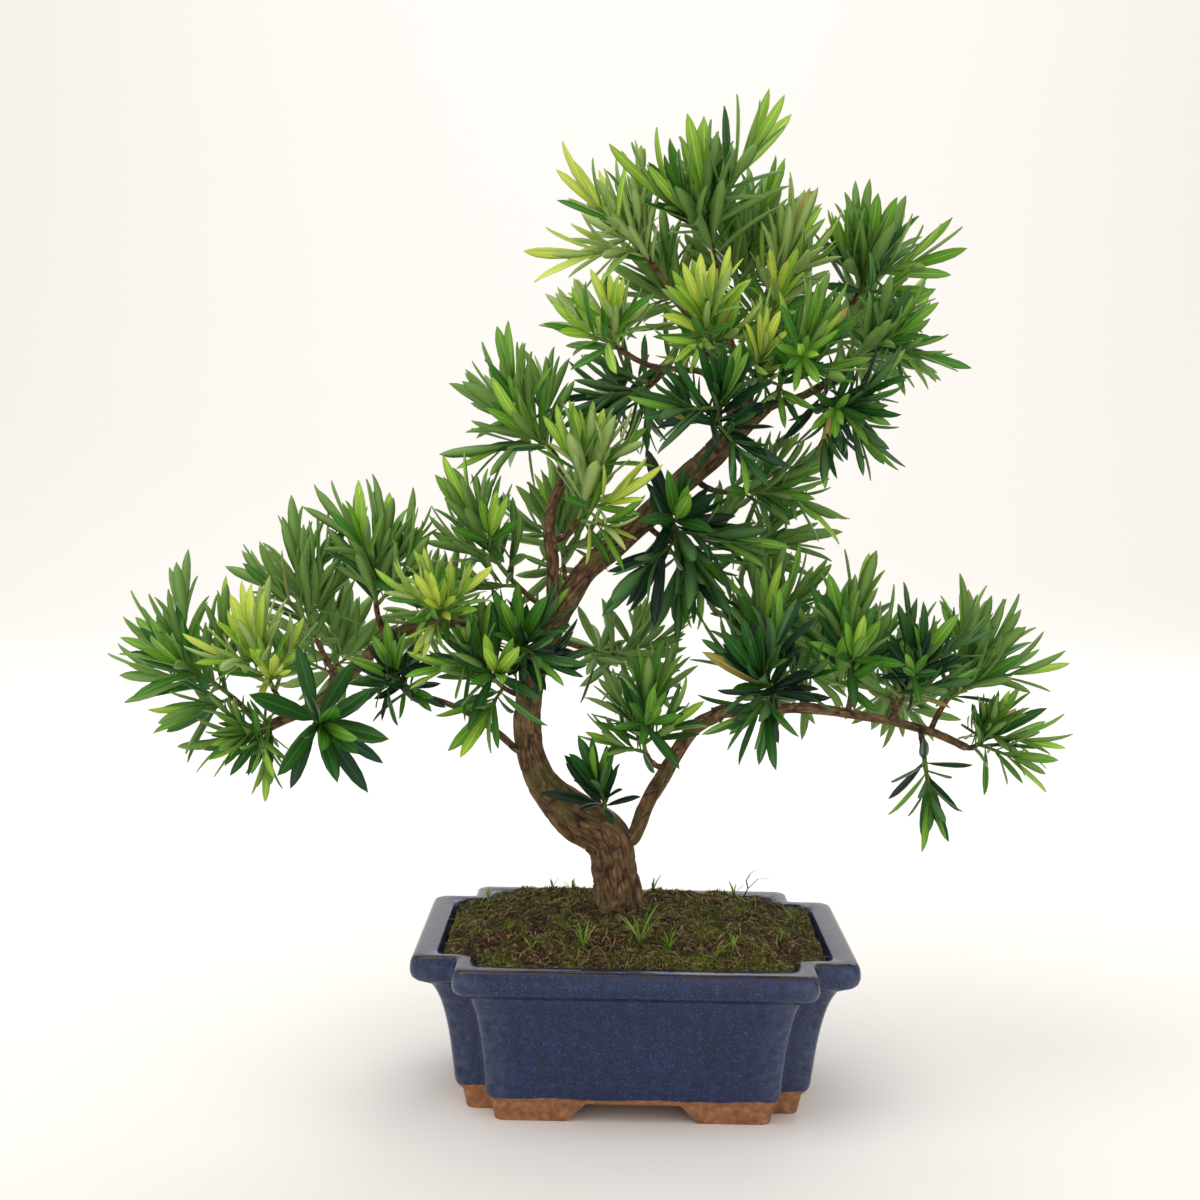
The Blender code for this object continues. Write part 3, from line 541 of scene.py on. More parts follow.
bark, bark_shader = new_material("fissured_bark_weathered", Roughness=0.88, IOR=1.45)
grain = add_node(bark, "ShaderNodeAttribute", output="Vector", attribute_name="grain")
long_grain = add_node(bark, "ShaderNodeMapping", {"Vector": grain, "Scale": GRAIN_STRETCH})
noise = {}
for name, (source, size, detail, roughness) in {
        "fibre": (long_grain, 1.3, 5.0, 0.65), "flake": (grain, 5.0, 4.0, 0.55),
        "damp": (grain, 13.0, 4.0, 0.55)}.items():
    noise[name] = add_node(bark, "ShaderNodeTexNoise", {
        "Vector": source, "Scale": scale_of(size), "Detail": detail, "Roughness": roughness})
tone = add_node(bark, "ShaderNodeMix", {"Factor": 0.35, 2: noise["fibre"], 3: noise["flake"]})
wood = add_node(bark, "ShaderNodeValToRGB", {"Fac": tone}, stops=[
    (0.34, "#2c1d12"), (0.46, "#634830"), (0.56, "#8c6c4c"), (0.70, "#bd9c79")])
# Painted shade: the fissures are darkened by their depth.
hollow = add_node(bark, "ShaderNodeAttribute", output="Fac", attribute_name="hollow")
hollow = add_node(bark, "ShaderNodeMath", {0: hollow, 1: 0.8}, operation="MULTIPLY")
damp = add_node(bark, "ShaderNodeMapRange", {
    "Value": noise["damp"], "From Min": 0.50, "From Max": 0.66, "To Max": 0.55},
    interpolation_type="SMOOTHSTEP")
# Near black in the fissures is painted shade; the olive is damp moss.
for share, code in ((hollow, "#150e08"), (damp, "#6a6532")):
    wood = add_node(bark, "ShaderNodeMix", {"Factor": share, 6: wood, 7: colour(code)},
                    output=2, data_type="RGBA")
bumped = add_node(bark, "ShaderNodeBump", {"Height": noise["fibre"], "Strength": 0.9, "Distance": 0.9 * MM})
bark.node_tree.links.new(wood, bark_shader.inputs["Base Color"])
bark.node_tree.links.new(bumped, bark_shader.inputs["Normal"])


def bark_relief(straight, radius):
    """Rise of the bark over the limb, in millimetres, and how deep in a fissure a point is."""
    size = np.clip(radius / FULL_RELIEF_RADIUS, LEAST_RELIEF, 1.0)
    lumps, plates, strands = [lattice_noise(straight / np.array([across, across, along]), seed)
                              for across, along, seed in BARK_SIZES]
    fissure = np.clip(1.0 - np.abs(plates) * FISSURE_SHARPNESS, 0.0, 1.0)
    rise = size * (0.9 * lumps + 0.45 * plates + 0.35 * strands - FISSURE_DEPTH * fissure)
    return rise, fissure


def frames_along(path):
    """Direction and two steady cross directions at each point of a path."""
    along = np.gradient(path, axis=0)
    along /= np.linalg.norm(along, axis=1)[:, None]
    side = np.cross(along[0], [0.0, 1.0, 0.0])
    sides = []
    for direction in along:
        side = side - direction * side.dot(direction)
        side = side / np.linalg.norm(side)
        sides.append(side)
    sides = np.array(sides)
    return along, sides, np.cross(along, sides)


def roll_limb(name, path, cell):
    """Roll a grid of bark round a path of x, y, z, radius and close its ends."""
    lengths = np.linalg.norm(np.diff(path[:, :3], axis=0), axis=1)
    along = np.concatenate([[0.0], np.cumsum(lengths)])
    around_count = max(LEAST_AROUND, round(math.tau * path[:, 3].max() / cell))
    along_count = max(LEAST_ALONG, round(along[-1] / cell))
    deselect()
    bpy.ops.mesh.primitive_grid_add(x_subdivisions=around_count, y_subdivisions=along_count, size=1.0)
    limb = bpy.context.object
    flat = np.array([vertex.co[:2] for vertex in limb.data.vertices]) + 0.5
    reach = flat[:, 1] * along[-1]
    angle = flat[:, 0] * math.tau
    dense = np.linspace(0.0, along[-1], along_count + 1)
    centres = np.column_stack([np.interp(dense, along, path[:, axis]) for axis in range(3)])
    _, first, second = frames_along(centres)
    row = np.clip(np.round(flat[:, 1] * along_count).astype(int), 0, along_count)
    radius = np.interp(reach, along, path[:, 3])
    straight = np.column_stack([radius * np.cos(angle), radius * np.sin(angle), reach])
    rise, fissure = bark_relief(straight + hash_shift(name), radius)
    outward = first[row] * np.cos(angle)[:, None] + second[row] * np.sin(angle)[:, None]
    places = centres[row] + outward * (radius + rise)[:, None]
    if name == "trunk":
        places = flare_root(places)
    limb.data.vertices.foreach_set("co", (places * MM + np.array(POT)).ravel())
    grain_layer = limb.data.attributes.new("grain", "FLOAT_VECTOR", "POINT")
    grain_layer.data.foreach_set("vector", ((straight + hash_shift(name)) * MM).astype(np.float32).ravel())
    # How deep in a fissure each point is, kept for the bark's painted shade.
    fissure_shade_layer = limb.data.attributes.new("hollow", "FLOAT", "POINT")
    fissure_shade_layer.data.foreach_set("value", fissure.astype(np.float32))
    bpy.ops.object.mode_set(mode="EDIT")
    bpy.ops.mesh.select_all(action="SELECT")
    bpy.ops.mesh.remove_doubles(threshold=0.01 * MM)
    bpy.ops.mesh.select_all(action="DESELECT")
    bpy.ops.mesh.select_non_manifold()
    bpy.ops.mesh.edge_face_add()
    turn_outwards(limb)
    bpy.ops.object.shade_smooth()
    return limb


def hash_shift(name):
    """A place of its own in the noise for each limb."""
    return np.array([random.Random(name + axis).uniform(0.0, 400.0) for axis in "xyz"])


print("made", bark.name)

# %% [markdown]
# The limbs follow the same bends as the model's own: a smooth curve through a few chosen
# points, tapering from the foot to the tip. A bough starts on its limb's surface and runs
# on towards its first bend. Here each foot starts inside its limb, as living wood does.

# %% Paths of the limbs
# Place and diameter of the trunk at each bend.
TRUNK_BENDS = [
    (-8.0, 12.0, 76.0, 24.6), (-8.0, 12.0, 87.0, 22.5), (-9.5, 12.0, 98.0, 20.5),
    (-14.0, 10.0, 114.5, 22.8), (-30.0, 8.0, 125.8, 20.2), (-45.5, 5.0, 143.0, 14.6),
    (-51.5, 3.0, 165.0, 13.0), (-50.0, 2.0, 188.0, 12.5), (-42.0, 1.0, 211.0, 11.4),
    (-27.0, -1.0, 239.5, 10.9), (-5.0, -2.0, 260.5, 11.2), (20.0, 1.0, 285.0, 10.9),
    (34.0, 3.0, 298.0, 11.6), (43.0, 5.0, 312.0, 8.0), (44.5, 6.0, 324.0, 6.2), (43.0, 7.0, 335.0, 4.8),
]
# Limb it leaves, fraction of that limb's length, diameters at foot and tip, bends.
BOUGHS = {
    "bough_low_right": ("trunk", 0.115, 8.0, 6.6, [
        (5.2, 6.0, 132.0), (12.6, 2.0, 145.5), (18.4, -2.0, 158.0), (26.0, -6.0, 170.0),
        (36.0, -9.0, 176.5)]),
    "bough_low_right_outer": ("bough_low_right", 1.0, 6.2, 3.8, [
        (53.5, -12.0, 180.0), (73.0, -13.0, 181.3), (90.0, -12.0, 180.0), (113.5, -8.0, 175.7),
        (135.5, -4.0, 170.3), (153.5, 0.0, 162.5)]),
    "bough_left_thin": ("trunk", 0.32, 4.2, 2.4, [
        (-64.0, -3.0, 164.5), (-75.0, -6.0, 173.0), (-86.0, -10.0, 179.0), (-100.5, -16.0, 185.0)]),
    "bough_left": ("trunk", 0.46, 7.4, 4.6, [
        (-62.5, -3.0, 217.5), (-78.5, -8.0, 218.5), (-95.5, -12.0, 217.0), (-110.0, -15.0, 213.0),
        (-121.0, -17.0, 205.0), (-132.0, -19.0, 193.5), (-147.5, -21.0, 180.0), (-165.5, -22.0, 171.0),
        (-181.5, -22.0, 162.5)]),
    "bough_upper_left": ("trunk", 0.55, 6.0, 5.0, [
        (-40.5, -9.0, 247.0), (-42.5, -10.0, 258.5), (-41.0, -10.0, 272.0), (-38.0, -9.0, 281.0)]),
    "bough_crown_left": ("trunk", 0.975, 4.4, 2.4, [
        (35.0, 1.0, 336.0), (27.7, -3.0, 344.0), (22.0, -6.0, 355.0), (13.5, -6.0, 367.5),
        (4.5, -5.0, 379.5)]),
    "bough_crown_top": ("trunk", 1.0, 4.4, 2.8, [
        (39.5, 10.0, 350.0), (35.5, 8.0, 365.5), (32.0, 6.0, 381.5)]),
    "bough_crown_yellow": ("trunk", 0.93, 3.8, 2.4, [
        (34.0, -6.0, 329.0), (25.0, -9.0, 334.0), (16.0, -10.0, 334.5), (2.0, -12.0, 336.0),
        (-10.5, -14.0, 342.0)]),
    "bough_crown_right": ("trunk", 0.905, 5.4, 3.2, [
        (57.0, -3.0, 318.5), (69.0, -5.0, 322.5), (81.0, -6.0, 329.0), (91.5, -6.0, 338.0)]),
    "bough_crown_far": ("trunk", 0.945, 4.6, 2.4, [
        (52.0, 14.0, 330.0), (61.0, 19.0, 337.5), (75.0, 21.0, 348.5), (89.0, 20.0, 359.5),
        (96.5, 18.0, 368.0)]),
}
LIMB_STEPS = 6
FOOT_SINK = 0.6
FIRST_STEP = 0.7
COLLAR_SWELL = 0.35
COLLAR_SHARE = 9.0


def at_fraction(path, fraction):
    """Centre, radius and direction of a limb, a fraction of its length along."""
    steps = np.linalg.norm(np.diff(path[:, :3], axis=0), axis=1)
    along = np.concatenate([[0.0], np.cumsum(steps)]) / steps.sum()
    here = np.array([np.interp(fraction, along, path[:, axis]) for axis in range(4)])
    index = int(np.clip(np.searchsorted(along, fraction), 1, len(path) - 1))
    direction = path[index, :3] - path[index - 1, :3]
    return here[:3], here[3], direction / np.linalg.norm(direction)


def leave_limb(path, fraction, target):
    """Where a shoot bound for the target leaves a limb, and its first direction."""
    centre, radius, direction = at_fraction(path, fraction)
    if fraction >= 1.0:
        return centre, direction
    outward = np.array(target[:3], float) - centre
    outward -= direction * outward.dot(direction)
    outward /= np.linalg.norm(outward)
    return centre + outward * radius * FOOT_SINK, outward


def limb_paths():
    """Path of every limb as rows of x, y, z and radius."""
    trunk = smooth_path(np.array(TRUNK_BENDS), LIMB_STEPS)
    trunk[:, 3] /= 2
    limbs = {"trunk": trunk}
    for name, (host, fraction, foot_diameter, tip_diameter, bends) in BOUGHS.items():
        foot, direction = leave_limb(limbs[host], fraction, bends[0])
        start = [tuple(foot), tuple(foot + direction * foot_diameter * FIRST_STEP)]
        path = smooth_path(np.array(start + bends), LIMB_STEPS)
        share = np.linspace(0.0, 1.0, len(path))
        collar = 1.0 + COLLAR_SWELL * np.clip(1.0 - share * COLLAR_SHARE, 0.0, 1.0)
        radii = (foot_diameter + (tip_diameter - foot_diameter) * share) / 2 * collar
        limbs[name] = np.column_stack([path, radii])
    return limbs


FLARE_FOOT = 78.0
FLARE_HEIGHT = 16.0
FLARE_SPREAD = 0.25
FLARE_LOBES = 5.0
TRUNK_CELL = 0.62
BOUGH_CELL = 0.5


def flare_root(places):
    """Spread the foot of the trunk into lobes that run out over the soil."""
    rise = np.clip((places[:, 2] - FLARE_FOOT) / FLARE_HEIGHT, 0.0, 1.0)
    angle = np.arctan2(places[:, 1] - TRUNK_FOOT[1], places[:, 0] - TRUNK_FOOT[0])
    lobe = 0.6 + 0.4 * np.cos(FLARE_LOBES * angle + 1.0)
    spread_out = 1.0 + FLARE_SPREAD * lobe * (1.0 - rise) ** 2
    places[:, 0] = TRUNK_FOOT[0] + (places[:, 0] - TRUNK_FOOT[0]) * spread_out
    places[:, 1] = TRUNK_FOOT[1] + (places[:, 1] - TRUNK_FOOT[1]) * spread_out
    return places


limbs = limb_paths()
for name, path in limbs.items():
    limb = roll_limb(name, path, TRUNK_CELL if name == "trunk" else BOUGH_CELL)
    settle(limb, name + "_bark", bark, name)

# %% [markdown]
# Foliage: every tuft grows by the model's rule, carried further. A stem leaves its limb and
# bends to its own end, shoots leave the stem at the golden angle, and each ends in a
# rosette of leaves that lie nearly square to it at its foot and nearly along it at its tip.
# A leaf that would leave its mass's space, or touch a limb, is tried again shorter.

# %% Places and ages of the foliage masses
# Limb it leaves, fraction along it, place of the stem's tip, leaf length, age.
MASS_ROWS = {
    "crown_peak": ("bough_crown_top", 1.0, (26, -4, 407), 46, "mid"),
    "crown_peak_back": ("bough_crown_top", 0.62, (49, 38, 396), 42, "mid"),
    "crown_peak_left": ("bough_crown_left", 1.0, (-9, -4, 397), 38, "young"),
    "crown_front": ("bough_crown_left", 0.38, (25, -34, 356), 32, "young"),
    "crown_heart": ("bough_crown_far", 0.42, (65, 6, 389), 36, "young"),
    "crown_right_peak": ("bough_crown_far", 1.0, (101, 10, 382), 40, "mid"),
    "crown_right_tip": ("bough_crown_right", 1.0, (108, -8, 349), 34, "mid"),
    "crown_young": ("trunk", 0.96, (51, -36, 341), 27, "young"),
    "crown_right_front": ("bough_crown_right", 0.45, (70, -34, 342), 34, "mid"),
    "crown_right_under": ("bough_crown_right", 0.72, (90, -26, 318), 33, "dark"),
    "crown_right_back": ("bough_crown_far", 0.78, (107, 52, 359), 36, "mid"),
    "crown_back": ("bough_crown_far", 0.3, (65, 62, 365), 38, "mid"),
    "crown_yellow_tip": ("bough_crown_yellow", 1.0, (-14, -16, 349), 36, "young"),
    "crown_left_back": ("bough_crown_left", 0.6, (9, 42, 378), 36, "mid"),
    "crown_front_under": ("trunk", 0.87, (33, -42, 320), 36, "dark"),
    "crown_under_right": ("trunk", 0.82, (65, 4, 286), 32, "mid"),
    "crown_under_left": ("bough_crown_yellow", 0.7, (-15, 12, 321), 34, "dark"),
    "centre_right": ("trunk", 0.72, (65, 34, 256), 34, "mid"),
    "upper_left_top": ("bough_upper_left", 0.55, (-24, -22, 292), 38, "young"),
    "upper_left_tip": ("bough_upper_left", 1.0, (-62, -4, 313), 38, "mid"),
    "upper_left_low": ("trunk", 0.53, (-76, -16, 262), 34, "mid"),
    "upper_left_back": ("trunk", 0.57, (-36, 48, 264), 35, "mid"),
    "left_far": ("bough_left", 0.93, (-206, -34, 200), 39, "mid"),
    "left_far_up": ("bough_left", 0.84, (-169, -48, 207), 32, "young"),
    "left_mid_up": ("bough_left", 0.66, (-159, 2, 238), 36, "mid"),
    "left_top": ("bough_left", 0.48, (-119, -14, 248), 38, "mid"),
    "left_young": ("bough_left", 0.31, (-89, -46, 228), 26, "young"),
    "left_star": ("bough_left", 0.77, (-136, -68, 178), 43, "dark"),
    "left_under": ("bough_left", 0.88, (-173, -48, 170), 28, "mid"),
    "left_back": ("bough_left", 0.7, (-145, 48, 202), 38, "mid"),
    "left_inner": ("trunk", 0.4, (-73, -38, 207), 38, "mid"),
    "left_inner_up": ("trunk", 0.45, (-54, -40, 213), 32, "dark"),
    "left_inner_back": ("bough_left", 0.36, (-99, 44, 220), 33, "mid"),
    "left_thin_tip": ("bough_left_thin", 1.0, (-110, -34, 197), 30, "dark"),
    "fork_front": ("trunk", 0.15, (-18, -24, 146), 30, "dark"),
    "fork_right": ("bough_low_right", 0.55, (3, -26, 183), 33, "mid"),
    "centre_weeping": ("trunk", 0.75, (20, -14, 255), 44, "dark"),
    "right_inner_up": ("bough_low_right_outer", 0.16, (59, 0, 224), 38, "mid"),
    "right_front": ("bough_low_right_outer", 0.24, (52, -50, 200), 36, "dark"),
    "right_mid": ("bough_low_right_outer", 0.5, (92, -26, 210), 38, "mid"),
    "right_outer_mid": ("bough_low_right_outer", 0.67, (125, -34, 206), 31, "dark"),
    "right_outer_up": ("bough_low_right_outer", 0.84, (160, 0, 203), 36, "mid"),
    "right_tip": ("bough_low_right_outer", 1.0, (162, -8, 172), 32, "mid"),
    "right_pendant": ("bough_low_right_outer", 0.8, (131, -34, 145), 29, "dark"),
    "right_back": ("bough_low_right_outer", 0.34, (83, 48, 199), 38, "mid"),
    "right_outer_back": ("bough_low_right_outer", 0.71, (131, 50, 189), 35, "mid"),
    "centre_back": ("trunk", 0.49, (2, 50, 193), 34, "mid"),
}
MASSES = {"foliage_" + name: row for name, row in MASS_ROWS.items()}
STARTS = {"crown": "crown", "upper_left": "upper_left", "left": "left", "centre": ("centre", "fork"),
          "right": "right"}
REGIONS = {region: ["foliage_" + name for name in MASS_ROWS if name.startswith(start)]
           for region, start in STARTS.items()}
print(len(MASSES), "masses in", len(REGIONS), "regions")

# %% [markdown]
# Leaf colours are plain, dealt out by spray: an old leaf is a deep bluish green, a young
# one yellow-green, and every underside is a paler, duller green. The upper greens, the young
# yellow-greens most, are also made lighter as a painted glow of light shining through
# back-lit leaves. Leaf skin is waxy, which gives a soft sheen. A narrow pale strip down the
# middle is the leaf's one rib.

# %% Leaf colours
# The lime and fresh tones are young growth, and also a painted glow of back-lit leaves.
UPPER = {
    "lime": "#cfe45c", "fresh": "#a2cc48", "grass": "#74a836", "leaf": "#4a8428",
    "deep": "#2e6224", "pine": "#1c4424", "shade": "#122f1e", "sallow": "#b3a352",
}
PALETTES = {
    "young": ["lime", "lime", "fresh", "fresh", "grass", "leaf", "leaf"],
    "mid": ["fresh", "grass", "grass", "leaf", "leaf", "deep", "deep"],
    "dark": ["grass", "leaf", "deep", "deep", "pine", "pine", "shade"],
}
UNDER = {"under_pale": "#aec874", "under_green": "#7ca350", "under_deep": "#4f7a42"}
UNDERSIDES = {"young": "under_pale", "mid": "under_green", "dark": "under_deep"}
RIB_LIFT = 1.7
SALLOW_SHARE = 0.012

leaf_materials = []
leaf_index = {}


def leaf_finish(key, name, base, **values):
    """Add a leaf material, and note its place in the list under a key."""
    leaf_index[key] = len(leaf_materials)
    leaf_materials.append(new_material(name, Base_Color=base, **values)[0])


for tone_name, code in UPPER.items():
    leaf_finish(tone_name, "leaf_skin_waxy_" + tone_name, colour(code),
                Roughness=0.3, Specular_IOR_Level=0.35)
for tone_name, code in UPPER.items():
    paler = [min(1.0, channel * RIB_LIFT + 0.01) for channel in colour(code)[:3]]
    leaf_finish("rib_" + tone_name, "leaf_rib_" + tone_name, (*paler, 1.0), Roughness=0.5)
for tone_name, code in UNDER.items():
    leaf_finish(tone_name, "leaf_" + tone_name, colour(code), Roughness=0.6, Specular_IOR_Level=0.3)
print(len(leaf_materials), "leaf materials")

# %% [markdown]
# One leaf is a strap: narrow at its short stalk, widest past the middle, blunt-pointed,
# folded a little along its rib, and bent back slightly towards its tip. It is a row of
# stations with six points across the top and, for the underside, one point a little below
# the rib at each station, joined to the edges. All leaves are that one array, stretched and turned.

# %% Shape of a leaf
STATIONS = np.array([0.0, 0.06, 0.18, 0.4, 0.62, 0.80, 0.92, 1.0])
WIDTHS = np.array([0.16, 0.22, 0.60, 0.92, 1.0, 0.84, 0.48, 0.04])
ACROSS = np.array([-1.0, -0.5, -0.09, 0.09, 0.5, 1.0])
FOLD = 0.16
DISH = 0.10
THICKNESS = 0.016
LEAST_THICKNESS = 0.25
BEND = (-0.14, 0.05)
SWAY = 0.04
TWIST = 0.35
TOP_COUNT = len(ACROSS)


def leaf_faces():
    """Faces of one leaf, and for each its part: 0 upper, 1 rib, 2 under."""
    faces = []
    parts = []
    rows = len(STATIONS)
    under = rows * TOP_COUNT
    for row in range(rows - 1):
        for step in range(TOP_COUNT - 1):
            first = row * TOP_COUNT + step
            faces.append((first, first + TOP_COUNT, first + TOP_COUNT + 1, first + 1))
            parts.append(1 if step == 2 and row < rows - 2 else 0)
        left, right = row * TOP_COUNT, row * TOP_COUNT + TOP_COUNT - 1
        middle = under + row
        faces.append((left, middle, middle + 1, left + TOP_COUNT))
        faces.append((middle, right, right + TOP_COUNT, middle + 1))
        parts += [2, 2]
    return np.array(faces), np.array(parts)


def leaf_points(leaf, chance):
    """Points of one leaf as rows of x, y, z in millimetres."""
    root, direction, side, up, length, width = leaf
    bend = chance.uniform(*BEND) * length
    sway = chance.uniform(-SWAY, SWAY) * length
    twist = chance.uniform(-TWIST, TWIST)
    half = width / 2
    points = []
    for part, wide in zip(STATIONS, WIDTHS):
        centre = root + direction * length * part + up * bend * part ** 2 + side * sway * part ** 2
        turn_side = side * math.cos(twist * part) + up * math.sin(twist * part)
        turn_up = up * math.cos(twist * part) - side * math.sin(twist * part)
        for across in ACROSS:
            rise = abs(across) * FOLD * width * wide
            rise += (DISH * (1 - abs(across)) if abs(across) > 0.2 else 0.0) * width * wide
            points.append(centre + turn_side * across * half * wide + turn_up * rise)
    for part, wide in zip(STATIONS, WIDTHS):
        centre = root + direction * length * part + up * bend * part ** 2 + side * sway * part ** 2
        points.append(centre - up * max(LEAST_THICKNESS, THICKNESS * length))
    return points


LEAF_FACES, LEAF_PARTS = leaf_faces()
print("a leaf has", len(LEAF_FACES), "faces")

# %% [markdown]
# A living shoot sets each new leaf a golden angle round from the last, so no leaf shades
# the one below, and the youngest at the tip still stand close to the shoot. The rule here
# does the same, with seeded chance for each leaf's lean, length and tone. A few masses are
# open stars, as the photo shows: one rosette without side shoots.

# %% Rule of growth
STEM_DIAMETER = 2.8
STEM_TIP_DIAMETER = 1.5
STEM_KNEE = 0.4
STEM_STATIONS = np.linspace(0.0, 1.0, 9)
SHOOTS = 5
FIRST_SHOOT, SHOOT_SPAN = 0.38, 0.5
SHOOT_TURN = (38.0, 62.0)
SHOOT_REACH = (0.35, 0.6)
LEAVES_ON_STEM = 20
LEAVES_ON_SHOOT = 12
SHOOT_LEAF = 0.82
LEAFY_LENGTH = 22.0
LEAF_LIFT = 0.35
LEAF_SWING = 0.15
LEAF_LEAN = (0.75, 1.1)
LEAF_SIZE = (0.72, 1.06)
LEAF_WIDTH = (0.145, 0.19)
TONE_SPREAD = 1.5
GOLDEN_ANGLE = math.radians(137.5)
WIDEST_TURN = math.radians(80.0)
NARROWEST_TURN = math.radians(10.0)
LEAF_TRIES = 7
OPEN_STARS = {"foliage_left_star": 17, "foliage_right_pendant": 17, "foliage_fork_front": 24}
SPACE_MARGIN = -5.0
LIMB_CLEARANCE = 0.5


def stem_path(limbs, row):
    """Main stem of a mass: off its limb square, then bending to its own end."""
    host, fraction, tip = row[:3]
    tip = np.array(tip, float)
    foot, direction = leave_limb(limbs[host], fraction, tip)
    knee = foot + direction * np.linalg.norm(tip - foot) * STEM_KNEE
    t = STEM_STATIONS[:, None]
    centre = foot * (1 - t) ** 2 + knee * 2 * t * (1 - t) + tip * t * t
    radius = (STEM_DIAMETER + (STEM_TIP_DIAMETER - STEM_DIAMETER) * t) / 2
    return np.hstack([centre, radius])


STEMS = {name: stem_path(limbs, row) for name, row in MASSES.items()}
STEM_POINTS = np.vstack([stem[:, :3] for stem in STEMS.values()])
REACHES = np.array([float(row[3]) for row in MASSES.values()])
NAMES = list(MASSES)
LIMB_POINTS = np.vstack(list(limbs.values()))


def in_own_space(name, points):
    """Whether points are nearer the mass's own stem than any other, and off the limbs."""
    own = NAMES.index(name)
    apart = np.linalg.norm(points[:, None] - STEM_POINTS[None], axis=2)
    apart = apart.reshape(len(points), len(NAMES), len(STEM_STATIONS)).min(axis=2) / REACHES
    mine = apart[:, own].copy()
    apart[:, own] = np.inf
    if np.any((apart.min(axis=1) - mine) * REACHES[own] < SPACE_MARGIN):
        return False
    clear = np.linalg.norm(points[:, None] - LIMB_POINTS[None, :, :3], axis=2) - LIMB_POINTS[None, :, 3]
    return bool(np.all(clear > LIMB_CLEARANCE))


def side_vectors(direction):
    """Two vectors square to a direction and to each other."""
    helper = np.array([0.0, 0.0, 1.0]) if abs(direction[2]) < 0.9 else np.array([1.0, 0.0, 0.0])
    first = np.cross(direction, helper)
    first /= np.linalg.norm(first)
    return first, np.cross(direction, first)


def turned(direction, azimuth, turn):
    """A direction swung away by a turn, towards an azimuth round itself."""
    first, second = side_vectors(direction)
    outward = first * math.cos(azimuth) + second * math.sin(azimuth)
    return direction * math.cos(turn) + outward * math.sin(turn)


def grow_leaves(name, twig, count, length, age, chance):
    """Leaves in a spiral round the end of a twig, each with its colour."""
    total = np.linalg.norm(np.diff(twig[:, :3], axis=0), axis=1).sum()
    start = max(0.15, 1.0 - LEAFY_LENGTH / total)
    palette = PALETTES[age]
    shift = chance.choice([-1, 0, 0, 1])
    azimuth = chance.uniform(0.0, math.tau)
    lift = np.array([0.0, 0.0, LEAF_LIFT if twig[-1, 2] > twig[0, 2] else 0.0])
    leaves = []
    for index in range(count):
        part = index / max(1, count - 1)
        centre, radius, shoot = at_fraction(twig, start + (1.0 - start) * part)
        turn = WIDEST_TURN + (NARROWEST_TURN - WIDEST_TURN) * part ** 0.85
        azimuth += GOLDEN_ANGLE
        for attempt in range(LEAF_TRIES):
            swing = chance.uniform(-LEAF_SWING, LEAF_SWING) * (1 + attempt)
            lean = turn * chance.uniform(*LEAF_LEAN) * (1.0 - 0.05 * attempt)
            size = length * chance.uniform(*LEAF_SIZE) * (1.0 - 0.06 * attempt)
            direction = turned(shoot, azimuth + swing, lean) + lift
            direction /= np.linalg.norm(direction)
            root = centre + direction * radius * 0.4
            if in_own_space(name, root + direction * size * np.array([[0.3], [0.65], [1.0]])):
                up = shoot - direction * direction.dot(shoot)
                if np.linalg.norm(up) < 0.05:
                    up = side_vectors(direction)[0]
                up /= np.linalg.norm(up)
                width = size * chance.uniform(*LEAF_WIDTH)
                rank = (1.0 - part) * (len(palette) - 1) + chance.gauss(shift, TONE_SPREAD)
                tone_name = palette[int(np.clip(round(rank), 0, len(palette) - 1))]
                if chance.random() < SALLOW_SHARE:
                    tone_name = "sallow"
                leaves.append((root, direction, np.cross(up, direction), up, size, width, tone_name, age))
                break
    return leaves


def grow_mass(name):
    """Twigs and leaves of one mass."""
    age = MASSES[name][4]
    leaf_length = float(MASSES[name][3])
    chance = random.Random(name + " dressed")
    stem = STEMS[name]
    twigs = [stem]
    leaves = grow_leaves(name, stem, OPEN_STARS.get(name, LEAVES_ON_STEM), leaf_length, age, chance)
    if name in OPEN_STARS:
        return twigs, leaves
    azimuth = chance.uniform(0.0, math.tau)
    for index in range(SHOOTS):
        fraction = FIRST_SHOOT + SHOOT_SPAN * index / (SHOOTS - 1)
        centre, radius, direction = at_fraction(stem, fraction)
        for attempt in range(LEAF_TRIES):
            azimuth += GOLDEN_ANGLE
            heading = turned(direction, azimuth, math.radians(chance.uniform(*SHOOT_TURN)))
            reach = leaf_length * chance.uniform(*SHOOT_REACH)
            bend = turned(heading, azimuth, 0.2)
            ends = np.array([centre + heading * reach * part + bend * reach * 0.15 * part ** 2
                             for part in (0.0, 0.35, 0.7, 1.0)])
            if not in_own_space(name, ends[2:]):
                continue
            twig = np.column_stack([ends, np.linspace(radius * 0.75, STEM_TIP_DIAMETER * 0.4, len(ends))])
            twigs.append(twig)
            leaves += grow_leaves(name, twig, LEAVES_ON_SHOOT, leaf_length * SHOOT_LEAF, age, chance)
            break
    return twigs, leaves


print("growth rule ready for", len(STEMS), "stems")

# %% [markdown]
# Twigs: last year's wood is brown and knotted with old leaf scars, and this year's shoot
# is green. Each is a six-sided tube along its path, all joined into one mesh a region.

